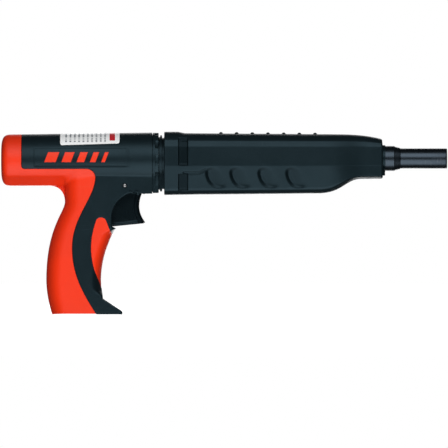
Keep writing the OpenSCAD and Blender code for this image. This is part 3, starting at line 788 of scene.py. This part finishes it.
def torsion_coil(pivot, from_y, to_y, radius, wire):
    """Torsion spring: a close helix about the pin along Y, with a straight leg at each end."""
    length = to_y - from_y - 2 * wire
    turns = length / (2.1 * wire)
    u = np.linspace(0, 1, int(turns * 24))
    a = 2 * np.pi * turns * u
    helix = xyz(pivot[0] + radius * np.cos(a), from_y + wire + length * u, pivot[1] + radius * np.sin(a))
    legs = []
    for end, sign in ((0, -1), (-1, 1)):
        out = np.array([-np.sin(a[end]), 0, np.cos(a[end])]) * sign
        steps = np.linspace(0, 2.2, 6)[1:, None]
        legs.append(helix[end] + out * steps)
    path = np.concatenate([legs[0][::-1], helix, legs[1]])
    along = np.gradient(path, axis=0)
    along /= np.linalg.norm(along, axis=1, keepdims=True)
    side = np.cross(along, [0, 1, 0])
    side /= np.linalg.norm(side, axis=1, keepdims=True)
    return swept(path, side, np.cross(side, along), wire)


# ---------------------------------------------------------------- label and bars

LABEL_X = (-303.5, -257.0)
LABEL_Z = (10.4, 11.8)
LABEL_CORNER = 1.5
LABEL_GAP = 0.12
BAR_WIDTHS = (9.0, 7.5, 6.0, 4.5, 3.0)
BAR_GAP = 4.4
BARS_START = -316.0
BARS_LOW_Z = -3.0
BAR_HEIGHT = 8.0
BAR_LEAN = 3.0


def label_patch():
    """Film over the receiver's top: at each x an arc between its two lower edges, whose corners are
    rounded by shortening the arc near the ends."""
    inset = np.array([0.0, 0.1, 0.3, 0.6, 1.0, LABEL_CORNER])
    rear, front = LABEL_X
    x = np.concatenate([rear + inset, np.linspace(rear + 3, front - 3, 40), front - inset[::-1]])
    corner = edge_drop(np.minimum(x - rear, front - x), LABEL_CORNER)
    radius, centre = receiver_radius(x)
    radius = radius + LABEL_GAP
    low = np.interp(x, LABEL_X, LABEL_Z) + corner
    angle = np.linspace(-1, 1, 90)[None] * np.arccos((low - centre) / radius)[:, None]
    r = radius[:, None]
    return xyz(x[:, None], -r * np.sin(angle), centre[:, None] + r * np.cos(angle))


def bar_patch(start, width):
    """One slanted bar that follows the receiver's side; its top leans forward by BAR_LEAN. Returned with
    its rim rolled down and without that."""
    step = np.array([0.0, 0.04, 0.12, 0.25, 0.4])
    inner = 0.8
    along = np.linspace(inner, width - inner, max(int(width / inner), 3))
    u = np.concatenate([step, along, width - step[::-1]])
    v = np.concatenate([step, np.linspace(inner, BAR_HEIGHT - inner, 12), BAR_HEIGHT - step[::-1]])
    v, u = np.meshgrid(v, u)
    x, z = start + u + BAR_LEAN * v / BAR_HEIGHT, BARS_LOW_Z + v
    grid = xyz(x, 0.06 - half_width(x, z), z)
    drop = edge_drop(np.minimum(np.minimum(u, width - u), np.minimum(v, BAR_HEIGHT - v)), 0.3)
    return rolled(grid, drop), grid


# ---------------------------------------------------------------- finishes

def add(tree, kind, inputs=None, **settings):
    """New shader node. Each input is given a constant, or linked if a socket is given."""
    made = tree.nodes.new("ShaderNode" + kind)
    for key, value in settings.items():
        setattr(made, key, value)
    for key, value in (inputs or {}).items():
        if isinstance(value, bpy.types.NodeSocket):
            tree.links.new(value, made.inputs[key])
        else:
            made.inputs[key].default_value = value
    return made


def calc(tree, operation, a, b=0.0, clamp=False):
    """Arithmetic on two values."""
    return add(tree, "Math", {0: a, 1: b}, operation=operation, use_clamp=clamp).outputs[0]


def band(tree, value, low, high, out_low=0.0, out_high=1.0):
    """Clamped straight ramp from out_low at low to out_high at high."""
    return add(tree, "MapRange", {0: value, 1: low, 2: high, 3: out_low, 4: out_high}).outputs[0]


def product(tree, first, *others):
    """Values multiplied together."""
    for value in others:
        first = calc(tree, "MULTIPLY", first, value)
    return first


def noise(tree, vector, scale, detail=3.0, roughness=0.55):
    """Fractal noise from 0 to 1."""
    return add(tree, "TexNoise", {"Vector": vector, "Scale": scale, "Detail": detail,
                                            "Roughness": roughness}).outputs[0]


def give(tree, out, **values):
    """Links each named value to the group's output of that name."""
    for key, value in values.items():
        tree.links.new(value, out.inputs[key])


def stretched(tree, vector, scale):
    """Coordinates multiplied by scale on each axis."""
    return add(tree, "Mapping", {"Vector": vector, "Scale": scale}).outputs[0]


def new_group(name, inputs, outputs):
    """Empty node group with a Vector input, the given value inputs (name, default) and outputs, its
    input sockets and its output node. A group that was made before comes back without the last two."""
    old = bpy.data.node_groups.get(name)
    if old:
        return old, None, None
    tree = bpy.data.node_groups.new(name, "ShaderNodeTree")
    tree.interface.new_socket(name="Vector", in_out="INPUT", socket_type="NodeSocketVector")
    for key, default in inputs:
        socket = tree.interface.new_socket(name=key, in_out="INPUT", socket_type="NodeSocketFloat")
        socket.default_value = default
    for key, kind in outputs:
        tree.interface.new_socket(name=key, in_out="OUTPUT", socket_type=kind)
    return tree, tree.nodes.new("NodeGroupInput").outputs, tree.nodes.new("NodeGroupOutput")


def moulded_texture():
    """Spark-eroded tool texture: fine grain over a faint waviness, as a normal and a grain value."""
    tree, given, out = new_group("Moulded Texture", [("Grain", 0.00004), ("Wave", 0.00012)],
                                 [("Normal", "NodeSocketVector"), ("Grain", "NodeSocketFloat")])
    if out:
        fine = noise(tree, given["Vector"], 1900.0, 2.0, 0.7)
        wave = noise(tree, given["Vector"], 55.0, 1.0)
        broad = add(tree, "Bump", {"Height": wave, "Distance": given["Wave"]})
        bump = add(tree, "Bump", {"Height": fine, "Distance": given["Grain"],
                                            "Normal": broad.outputs[0]})
        give(tree, out, Normal=bump.outputs[0], Grain=fine)
    return tree


def handling_marks():
    """Smudges, thin scratches in two directions, and settled dust, each as a mask from 0 to 1."""
    tree, given, out = new_group("Handling Marks", [("Spread", 1.0)],
                                 [(k, "NodeSocketFloat") for k in ("Smudge", "Scratch", "Dust")])
    if out:
        smudge = band(tree, noise(tree, given["Vector"], 28.0, 5.0, 0.62), 0.42, 0.68)
        patch = band(tree, noise(tree, given["Vector"], 16.0, 2.0), 0.5, 0.62)
        masks = []
        for scale in ((90.0, 90.0, 2600.0), (2300.0, 60.0, 120.0)):
            line = noise(tree, stretched(tree, given["Vector"], scale), 1.0, 1.0, 0.4)
            masks.append(band(tree, line, 0.70, 0.74))
        lines = calc(tree, "MAXIMUM", masks[0], masks[1])
        dust = band(tree, noise(tree, given["Vector"], 900.0, 2.0, 0.6), 0.60, 0.72)
        spread = given["Spread"]
        give(tree, out, Smudge=product(tree, smudge, spread), Scratch=product(tree, lines, patch, spread),
             Dust=product(tree, dust, smudge))
    return tree


def turned_lines():
    """Fine tool lines round X: noise that changes quickly along X and hardly at all round it."""
    tree, given, out = new_group("Turned Lines", [("Depth", 0.00001)],
                                 [("Normal", "NodeSocketVector"), ("Line", "NodeSocketFloat")])
    if out:
        line = noise(tree, stretched(tree, given["Vector"], (4200.0, 22.0, 22.0)), 1.0, 3.0, 0.6)
        bump = add(tree, "Bump", {"Height": line, "Distance": given["Depth"]})
        give(tree, out, Normal=bump.outputs[0], Line=line)
    return tree


LINES_REAR, LINES_FRONT, LINES_LOW = -0.3012, -0.2672, 0.0128
BAR_REAR, BAR_FRONT, BAR_LOW = -0.2648, -0.2606, 0.0140


def printed_marks():
    """Plain print for the label: upright grey lines, broken along their length, and one solid bar."""
    def box(x, z, rear, front, low):
        """1 between rear and front and above low."""
        return product(tree, calc(tree, "GREATER_THAN", x, rear), calc(tree, "LESS_THAN", x, front),
                       calc(tree, "GREATER_THAN", z, low))

    tree, given, out = new_group("Printed Marks", [("Spacing", 0.0034)],
                                 [("Lines", "NodeSocketFloat"), ("Bar", "NodeSocketFloat")])
    if out:
        x, _, z = add(tree, "SeparateXYZ", {0: given["Vector"]}).outputs
        turn = calc(tree, "FRACT", calc(tree, "DIVIDE", calc(tree, "ADD", x, 1.0), given["Spacing"]))
        stripe = calc(tree, "LESS_THAN", turn, 0.4)
        grain = noise(tree, stretched(tree, given["Vector"], (1.0, 1400.0, 1400.0)), 1.0, 1.0)
        place = box(x, z, LINES_REAR, LINES_FRONT, LINES_LOW)
        lines = product(tree, stripe, band(tree, grain, 0.42, 0.5), place)
        give(tree, out, Lines=lines, Bar=box(x, z, BAR_REAR, BAR_FRONT, BAR_LOW))
    return tree


def mixed(tree, factor, a, b):
    """Colour between a and b."""
    return add(tree, "Mix", {0: factor, 6: a, 7: b}, data_type="RGBA").outputs[2]


# kind, roughness, metallic, worn colour, share of the worn colour, coat, specular level
FINISHES = {
    "black_plastic": ("moulded", 0.36, 0.0, (0.02, 0.032, 0.038), 0.3, 0.0, 0.25),
    "orange_overmould": ("moulded", 0.42, 0.0, (0.74, 0.06, 0.02), 0.35, 0.0, 0.26),
    "trigger_plastic": ("moulded", 0.3, 0.0, (0.012, 0.018, 0.02), 0.3, 0.0, 0.14),
    "blued_steel": ("turned", 0.3, 1.0, (0.12, 0.13, 0.14), 0.5, 0.0, 0.5),
    "bright_steel": ("turned", 0.28, 1.0, (0.36, 0.35, 0.34), 0.5, 0.0, 0.5),
    "spring_steel": ("turned", 0.28, 1.0, (0.16, 0.14, 0.12), 0.5, 0.0, 0.5),
    "fastener_steel": ("turned", 0.3, 1.0, (0.2, 0.19, 0.17), 0.5, 0.0, 0.5),
    "bronze": ("turned", 0.3, 1.0, (0.3, 0.19, 0.1), 0.5, 0.0, 0.5),
    "insert_brass": ("turned", 0.3, 1.0, (0.42, 0.31, 0.14), 0.5, 0.0, 0.5),
    "buffer_rubber": ("moulded", 0.7, 0.0, (0.09, 0.09, 0.085), 0.5, 0.0, 0.3),
    "label_film": ("film", 0.3, 0.0, (0.6, 0.59, 0.55), 0.3, 0.2, 0.3),
    "badge_orange": ("moulded", 0.42, 0.0, (0.74, 0.06, 0.02), 0.35, 0.0, 0.26),
}


PLAIN_COLOURS = {
    "trigger_plastic": (0.002, 0.004, 0.005),
    "bright_steel": (0.27, 0.27, 0.275),
    "fastener_steel": (0.2, 0.2, 0.205),
    "spring_steel": (0.17, 0.17, 0.175),
    "label_film": (0.95, 0.96, 0.96),
}
BLUE_SHEEN = (0.5, 0.82, 1.0, 1.0)
GRAIN_DEPTHS = {"label_film": 0.000004, "trigger_plastic": 0.000012}


def shaded(colour, share):
    """A darker colour, with its alpha."""
    return tuple(c * share for c in colour) + (1.0,)


def make_finish(name, colour):
    """Material of a slot: the plain colour turns towards the worn one in scratches and dust, smudges
    change the gloss, and a moulded or turned texture gives the surface its grain. Moulded pieces get
    painted shade, darker and less glossy, where their per-point shade attribute says."""
    kind, roughness, metallic, worn, share, coat, specular = FINISHES[name]
    material = bpy.data.materials.new(name + "_finish")
    material.use_nodes = True
    tree = material.node_tree
    tree.nodes.clear()
    where = add(tree, "TexCoord").outputs["Object"]
    marks = add(tree, "Group", node_tree=handling_marks()).outputs
    surface = turned_lines() if kind == "turned" else moulded_texture()
    texture = add(tree, "Group", node_tree=surface)
    base = (*colour, 1.0)
    if kind == "film":
        marked = add(tree, "Group", node_tree=printed_marks()).outputs
        base = mixed(tree, marked["Lines"], base, (0.2, 0.22, 0.24, 1.0))
        base = mixed(tree, marked["Bar"], base, (0.55, 0.02, 0.03, 1.0))
    else:
        base = mixed(tree, product(tree, marks["Smudge"], 0.35), base, shaded(colour, 0.82))
    for node in [n for n in tree.nodes if n.bl_idname == "ShaderNodeGroup"]:
        tree.links.new(where, node.inputs["Vector"])
    if name in GRAIN_DEPTHS:
        texture.inputs["Grain"].default_value = GRAIN_DEPTHS[name]
    wear = calc(tree, "MULTIPLY", calc(tree, "MAXIMUM", marks["Scratch"], marks["Dust"]), share, True)
    base = mixed(tree, wear, base, (*worn, 1.0))
    if kind == "moulded":
        # Painted shade: where the attribute says, the colour is darkened to 30 % and the reflection fades.
        hollow = add(tree, "Attribute", attribute_name="recess").outputs["Fac"]
        base = mixed(tree, hollow, base, shaded(colour, 0.3))
        specular = calc(tree, "MULTIPLY", calc(tree, "SUBTRACT", 1.0, hollow), specular)
    grain = texture.outputs["Line" if kind == "turned" else "Grain"]
    gloss = calc(tree, "ADD", band(tree, grain, 0.3, 0.7, roughness - 0.05, roughness + 0.05),
                 product(tree, marks["Smudge"], 0.09))
    shader = add(tree, "BsdfPrincipled", {
        "Base Color": base, "Roughness": gloss, "Metallic": metallic, "Coat Weight": coat,
        "Normal": texture.outputs["Normal"], "Specular IOR Level": specular})
    if name in ("black_plastic", "trigger_plastic"):
        shader.inputs["Specular Tint"].default_value = BLUE_SHEEN
    out = add(tree, "OutputMaterial")
    tree.links.new(shader.outputs[0], out.inputs["Surface"])
    return material


def finish_of(name):
    """The slot's material, made once. A colour is a setting, a plain one from above, or the record's."""
    settings = bpy.context.scene.nail_gun
    colours = {m["slot"]: m["base_color"] for m in frame["record"]["materials"]}
    colours.update(PLAIN_COLOURS, orange_overmould=settings.orange, badge_orange=settings.orange,
                   black_plastic=settings.black, blued_steel=settings.steel)
    return bpy.data.materials.get(name + "_finish") or make_finish(name, tuple(colours[name]))


# ---------------------------------------------------------------- settings and operators

class NailGunSettings(bpy.types.PropertyGroup):
    """Values the operators read."""
    orange: FloatVectorProperty(name="Orange", description="Colour of the soft overmould and the bars",
                                default=(0.82, 0.032, 0.004), min=0, max=1, subtype="COLOR")
    black: FloatVectorProperty(name="Black", description="Colour of the glass-filled nylon",
                               default=(0.004, 0.0085, 0.0105), min=0, max=1, subtype="COLOR")
    steel: FloatVectorProperty(name="Blued steel", description="Colour of the muzzle and its collar",
                               default=(0.034, 0.045, 0.057), min=0, max=1, subtype="COLOR")
    wall: FloatProperty(name="Wall", description="Thickness of the moulded shells", default=0.0018,
                        min=0.001, max=0.003, unit="LENGTH", subtype="DISTANCE")
    around: IntProperty(name="Steps around", description="Points round each turned part", default=160, min=48,
                        max=256)
    screw_pockets: BoolProperty(name="Screw pockets", description="Cut the pockets for screws and pins",
                                default=True)
    key_power: FloatProperty(name="Softbox power", description="Power of the softbox above the camera",
                             default=16.0, min=0, unit="POWER")
    low_power: FloatProperty(name="Lower softbox power", description="Power of the softbox under the camera",
                             default=23.0, min=0, unit="POWER")


def cut_round_holes(obj, holes):
    """Boolean difference with round bars along Y: (x, z, from_y, to_y, radius) in millimetres."""
    if not bpy.context.scene.nail_gun.screw_pockets:
        return
    points, faces = [], []
    count = 48
    angle = 2 * np.pi * np.arange(count) / count
    for x, z, low, high, radius in holes:
        start = len(points)
        for y in (low, high):
            points += [(x + radius * np.cos(a), y, z + radius * np.sin(a)) for a in angle]
        for k in range(count):
            n = (k + 1) % count
            faces.append([start + k, start + count + k, start + count + n, start + n])
        faces.append([start + k for k in range(count)])
        faces.append([start + count + k for k in range(count - 1, -1, -1)])
    mesh = bpy.data.meshes.new("cutter")
    mesh.from_pydata([tuple(c * MM for c in p) for p in points], [], faces)
    cutter = linked("cutter", mesh)
    change = obj.modifiers.new("holes", "BOOLEAN")
    change.operation = "DIFFERENCE"
    change.solver = "MANIFOLD"
    change.object = cutter
    bpy.context.view_layer.update()
    result = bpy.data.meshes.new_from_object(obj.evaluated_get(bpy.context.evaluated_depsgraph_get()))
    obj.modifiers.clear()
    obj.data = result
    bpy.data.objects.remove(cutter)
    result.set_sharp_from_angle(angle=math.radians(40))


def pockets(screws, from_y=13.0):
    """Round bars that sink each screw's head into the left side."""
    return [(x, z, from_y, OUTSIDE_Y, POCKET_R) for x, z in screws]


class NAILGUN_OT_overmould(bpy.types.Operator):
    """Orange soft overmould: rear cap, receiver underside and back of the grip, right and left"""
    bl_idname = "nailgun.overmould"
    bl_label = "Overmould"

    def execute(self, context):
        wall = context.scene.nail_gun.wall / MM
        cap, lower = overmould_patches()
        lower = closed_heel(lower)
        top = [rolled(cap, seam_drop(cap)), rolled(lower, seam_drop(lower))]
        points, faces = walled(top, [cap, lower], wall)
        _, left = make_pair("_overmould_skin", points, faces, "handle_unit", "_grip_overmould",
                            "orange_overmould")
        cut_round_holes(left, pockets(SCREWS[:3]))
        return {"FINISHED"}


class NAILGUN_OT_housing(bpy.types.Operator):
    """Black receiver and grip casing, right and left, with the trigger slot and the recessed panel"""
    bl_idname = "nailgun.housing"
    bl_label = "Housing"

    def execute(self, context):
        wall = context.scene.nail_gun.wall / MM
        (sleeve, lower), panel = housing_patches()
        lower = handle_wall(closed_heel(lower))
        sunk = 0.45 * smooth(0.0, 0.5, inside_strap(lower[..., 0], lower[..., 2]))
        top = [rolled(sleeve, seam_drop(sleeve) + 0.4 * panel), rolled(lower, seam_drop(lower) + sunk)]
        points, faces = walled(top, [sleeve, lower], wall)
        right, left = make_pair("_casing", points, faces, "handle_unit", "_housing", "black_plastic")
        pin_y = 14.8
        cut_round_holes(right, [(*TRIGGER_PIVOT, -OUTSIDE_Y, -pin_y, PIN_HOLE_R)])
        cut_round_holes(left, [(*TRIGGER_PIVOT, pin_y, OUTSIDE_Y, PIN_HOLE_R)] + pockets(SCREWS))
        return {"FINISHED"}


class NAILGUN_OT_strap(bpy.types.Operator):
    """Orange strap on the front of the grip, right and left"""
    bl_idname = "nailgun.strap"
    bl_label = "Front strap"

    def execute(self, context):
        plain = handle_wall(strap_patch())
        x, z = plain[..., 0], plain[..., 2]
        drop = edge_drop(distance_to(STRAP_LEFT, x, z), ROLL)
        points, faces = walled([rolled(plain, drop)], [plain], 1.2)
        make_pair("_strap", points, faces, "handle_unit", "_front_strap", "orange_overmould")
        return {"FINISHED"}


class NAILGUN_OT_marks(bpy.types.Operator):
    """Label film over the receiver and the slanted bars on its sides"""
    bl_idname = "nailgun.marks"
    bl_label = "Label and bars"

    def execute(self, context):
        film = label_patch()
        points, faces = walled([film], [film], 0.1, axis_z=-0.5)
        make_piece("label_film_sheet", points, faces, "handle_unit", "product_label", "label_film")
        patches = []
        start = BARS_START
        for width in BAR_WIDTHS:
            patches.append(bar_patch(start, width))
            start += width + BAR_GAP
        points, faces = walled([p[0] for p in patches], [p[1] for p in patches], 0.6)
        make_pair("_bars", points, faces, "handle_unit", "_badge", "badge_orange")
        return {"FINISHED"}


class NAILGUN_OT_trigger(bpy.types.Operator):
    """Trigger with a rounded finger face and a groove along it on each side"""
    bl_idname = "nailgun.trigger"
    bl_label = "Trigger"

    def execute(self, context):
        make_piece("trigger_blade", *trigger_points(), "trigger_lever", "trigger", "trigger_plastic")
        return {"FINISHED"}


class NAILGUN_OT_pin(bpy.types.Operator):
    """Trigger pin: a round bar across the casing, with its two ends slightly domed"""
    bl_idname = "nailgun.pin"
    bl_label = "Trigger pin"

    def execute(self, context):
        half, radius = node_box("trigger_pin")[1][1], 1.5
        t = np.linspace(0, 1, 7)
        end = [(half - 0.45 * k ** 2, radius * k) for k in t] + [(half - 0.7, radius)]
        points, faces = turned([(-x, r) for x, r in end] + end[::-1], 48)
        points = xyz(TRIGGER_PIVOT[0] - points[:, 1], points[:, 0], TRIGGER_PIVOT[1] + points[:, 2])
        make_piece("domed_pin", points, faces, "handle_unit", "trigger_pin", "bright_steel", 60)
        return {"FINISHED"}


class NAILGUN_OT_foregrip(bpy.types.Operator):
    """Foregrip, right and left, with scallops, the band behind them and the ribs on top"""
    bl_idname = "nailgun.foregrip"
    bl_label = "Foregrip"

    def execute(self, context):
        grid, plain = foregrip_patches()
        points, faces = walled([grid], [plain], 1.7)
        # The foregrip's walls and upright band get painted shade.
        _, left = make_pair("_foregrip_shell", points, faces, "foregrip_unit", "_foregrip", "black_plastic",
                            foregrip_painted_shade(points))
        cut_round_holes(left, pockets(FOREGRIP_SCREWS, 16.0))
        return {"FINISHED"}


class NAILGUN_OT_neck(bpy.types.Operator):
    """Notched front ring, and the grooved neck that runs in it"""
    bl_idname = "nailgun.neck"
    bl_label = "Ring and neck"

    def execute(self, context):
        make_piece("notched_ring", *ring_points(), "handle_unit", "front_ring", "black_plastic", 30)
        make_piece("grooved_neck", *neck_points(), "foregrip_unit", "neck_sleeve", "black_plastic", 30)
        return {"FINISHED"}


class NAILGUN_OT_nose(bpy.types.Operator):
    """Nose bush, barrel collar with its cone, and muzzle tube with its bore"""
    bl_idname = "nailgun.nose"
    bl_label = "Muzzle and nose"

    def execute(self, context):
        around = context.scene.nail_gun.around
        bush = [(-74, 9.97), (-74, 13.2, 0.3), (-56, 13.2, 0.3), (-56, BUSH_R, 0), (-48.5, BUSH_R, 0.7),
                (-48.5, 9.97, 0.15)]
        collar = [(-73, 7.82), (-73, 9.9, 0.3), (-41.5, 9.9, 0.35), (-41.1, 9.4, 0.1), (-36.9, 8.35, 0.2),
                  (-36.6, 7.82, 0.1)]
        muzzle = [(-124.5, 4.3), (-124.5, 10, 0.4), (-75, 10, 0.3), (-75, 7.8, 0), (-36.5, 7.8, 0),
                  (-36.5, 8, 0.12), (-1.35, 8, 0.05), (-1.25, 7.86, 0.05), (-1.05, 7.86, 0.05),
                  (-0.95, 8, 0.05), (-0.6, 8, 0.25), (0, 7.4, 0.25), (0, 4.5, 0.15), (-0.45, 4.05, 0.1),
                  (-66, 4.05, 0), (-66, 4.3, 0)]
        for name, corners, body, node, slot in (
                ("nose_bush_turned", bush, "foregrip_unit", "nose_bush", "black_plastic"),
                ("collar_turned", collar, "barrel_unit", "barrel_collar", "blued_steel"),
                ("muzzle_turned", muzzle, "barrel_unit", "muzzle", "blued_steel")):
            make_piece(name, *turned(bevelled(corners, 0.1), around), body, node, slot, 25)
        return {"FINISHED"}


class NAILGUN_OT_springs(bpy.types.Operator):
    """Coil springs of the nose and the firing pin, and the two torsion springs. The firing pin's wire is
    two pieces, the rear one on the handle and the front one on the breech"""
    bl_idname = "nailgun.springs"
    bl_label = "Springs"

    def execute(self, context):
        nose = coil(-118, -79, 13.45, 7.5, 0.6)
        piece = make_piece("nose_coil", *tube_faces(nose), "barrel_unit", "barrel_spring", "spring_steel", 60)
        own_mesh(piece)
        pin = coil(-337, -300.3, 5.5, 9.5, 0.8)
        half = len(pin) // 2
        middle_x, front_x = pin[half].mean(0)[0], pin[-1].mean(0)[0]
        for end, rings, body, joint, start, finish, travel in (
                ("rear", pin[:half], "handle_unit", "breech_follow", -337, middle_x, 8),
                ("front", pin[half + 1:], "breech", "firing_pin_slide", middle_x, front_x, 6)):
            piece = make_piece("pin_coil_" + end, *tube_faces(rings), body, "firing_pin_spring",
                               "spring_steel", 60)
            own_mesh(piece)
        for name, pivot, low, high in (("trigger", TRIGGER_PIVOT, 6.3, 11.5), ("sear", SEAR_PIVOT, 3.8, 9.0)):
            wire = tube_faces(torsion_coil(pivot, low, high, 2.45, 0.5))
            make_piece(name + "_torsion_coil", *wire, "handle_unit", name + "_spring", "spring_steel", 60)
        return {"FINISHED"}


class NAILGUN_OT_cad_finishes(bpy.types.Operator):
    """Finish of every CAD part that stays visible, from the slot its material is named after"""
    bl_idname = "nailgun.cad_finishes"
    bl_label = "Finish CAD parts"

    def execute(self, context):
        for obj in frame["nodes"].values():
            for held in obj.material_slots:
                held.material = finish_of(held.material.name.split(".")[0].replace("_finish", ""))
        return {"FINISHED"}


def make_floor():
    """White floor just under the heel, seen by the camera only."""
    floor_gap = 0.0006
    floor_z = HEEL_Z * MM - floor_gap
    mesh = bpy.data.meshes.new("floor")
    corners = [(-3, -3), (3, -3), (3, 5), (-3, 5)]
    mesh.from_pydata([(x, y, floor_z) for x, y in corners], [], [(0, 1, 2, 3)])
    floor = linked("floor", mesh)
    paint = bpy.data.materials.new("floor_paint")
    paint.use_nodes = True
    shader = paint.node_tree.nodes["Principled BSDF"]
    for key, value in (("Base Color", (0.92, 0.92, 0.92, 1)), ("Roughness", 0.9),
                       ("Emission Color", (1, 1, 1, 1)), ("Emission Strength", 1.0)):
        shader.inputs[key].default_value = value
    mesh.materials.append(paint)
    for kind in ("shadow", "diffuse", "glossy"):
        setattr(floor, "visible_" + kind, False)


def make_softbox(name, place, size, power, target):
    """Rectangular lamp that faces the target."""
    lamp = bpy.data.lights.new(name, "AREA")
    lamp.shape = "RECTANGLE"
    lamp.size, lamp.size_y = size
    lamp.energy = power
    box = linked(name, lamp)
    box.location = place
    box.rotation_euler = (target - box.location).to_track_quat("-Z", "Y").to_euler()


def make_world():
    """World that is white to the camera and only a faint, cool fill to the pieces."""
    world = bpy.data.worlds.new("white_studio")
    world.use_nodes = True
    tree = world.node_tree
    tree.nodes.clear()
    seen = add(tree, "Background", {"Color": (1, 1, 1, 1), "Strength": 1.0})
    fill = add(tree, "Background", {"Color": (0.9, 0.95, 1, 1), "Strength": 0.06})
    path = add(tree, "LightPath")
    both = add(tree, "MixShader", {0: path.outputs["Is Camera Ray"], 1: fill.outputs[0],
                                             2: seen.outputs[0]})
    out = add(tree, "OutputWorld")
    tree.links.new(both.outputs[0], out.inputs["Surface"])
    return world


def make_camera(target):
    """Level camera on the right side, far away with a long lens, so that perspective hardly shows."""
    camera_distance = 9.77
    lens = bpy.data.cameras.new("side_camera")
    lens.lens = 1000
    lens.sensor_width = 36
    camera = linked("side_camera", lens)
    camera.location = target + Vector((0, -camera_distance, 0))
    camera.rotation_euler = (math.radians(90), 0, 0)
    return camera


class NAILGUN_OT_studio(bpy.types.Operator):
    """White floor, four softboxes, white background and a level side camera"""
    bl_idname = "nailgun.studio"
    bl_label = "Studio"

    def execute(self, context):
        scene = context.scene
        key_power, low_power = scene.nail_gun.key_power, scene.nail_gun.low_power
        target = Vector((-0.1751, 0.0, -0.0514))
        make_floor()
        for name, place, size, power in (
                ("upper_softbox", (-0.175, -1.09, 0.83), (1.6, 1.1), key_power),
                ("lower_softbox", (-0.175, -1.03, -1.0), (1.6, 1.6), low_power),
                ("far_upper_softbox", (-0.175, 1.3, 0.4), (0.7, 0.7), 0.2 * key_power),
                ("far_lower_softbox", (-0.175, 1.3, -0.5), (0.7, 0.7), 0.25 * low_power)):
            make_softbox(name, place, size, power, target)
        scene.world = make_world()
        scene.view_settings.view_transform = "Standard"
        scene.camera = make_camera(target)
        return {"FINISHED"}


class NAILGUN_PT_panel(bpy.types.Panel):
    """Sidebar panel with the settings and a button for each group of pieces"""
    bl_label = "Nail Gun"
    bl_idname = "NAILGUN_PT_panel"
    bl_space_type = "VIEW_3D"
    bl_region_type = "UI"
    bl_category = "Nail Gun"

    def draw(self, context):
        settings = context.scene.nail_gun
        for key in NailGunSettings.__annotations__:
            self.layout.prop(settings, key)
        for operator in OPERATORS:
            self.layout.operator(operator.bl_idname)


OPERATORS = (NAILGUN_OT_overmould, NAILGUN_OT_housing, NAILGUN_OT_strap, NAILGUN_OT_marks,
             NAILGUN_OT_trigger, NAILGUN_OT_pin, NAILGUN_OT_foregrip, NAILGUN_OT_neck, NAILGUN_OT_nose,
             NAILGUN_OT_springs, NAILGUN_OT_cad_finishes, NAILGUN_OT_studio)


def register():
    for cls in (NailGunSettings, *OPERATORS, NAILGUN_PT_panel):
        bpy.utils.register_class(cls)
    bpy.types.Scene.nail_gun = PointerProperty(type=NailGunSettings)


def unregister():
    del bpy.types.Scene.nail_gun
    for cls in reversed((NailGunSettings, *OPERATORS, NAILGUN_PT_panel)):
        bpy.utils.unregister_class(cls)


def main():
    register()
    for operator in OPERATORS:
        group, name = operator.bl_idname.split(".")
        getattr(getattr(bpy.ops, group), name)()
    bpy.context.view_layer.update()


if __name__ == "__main__":
    main()
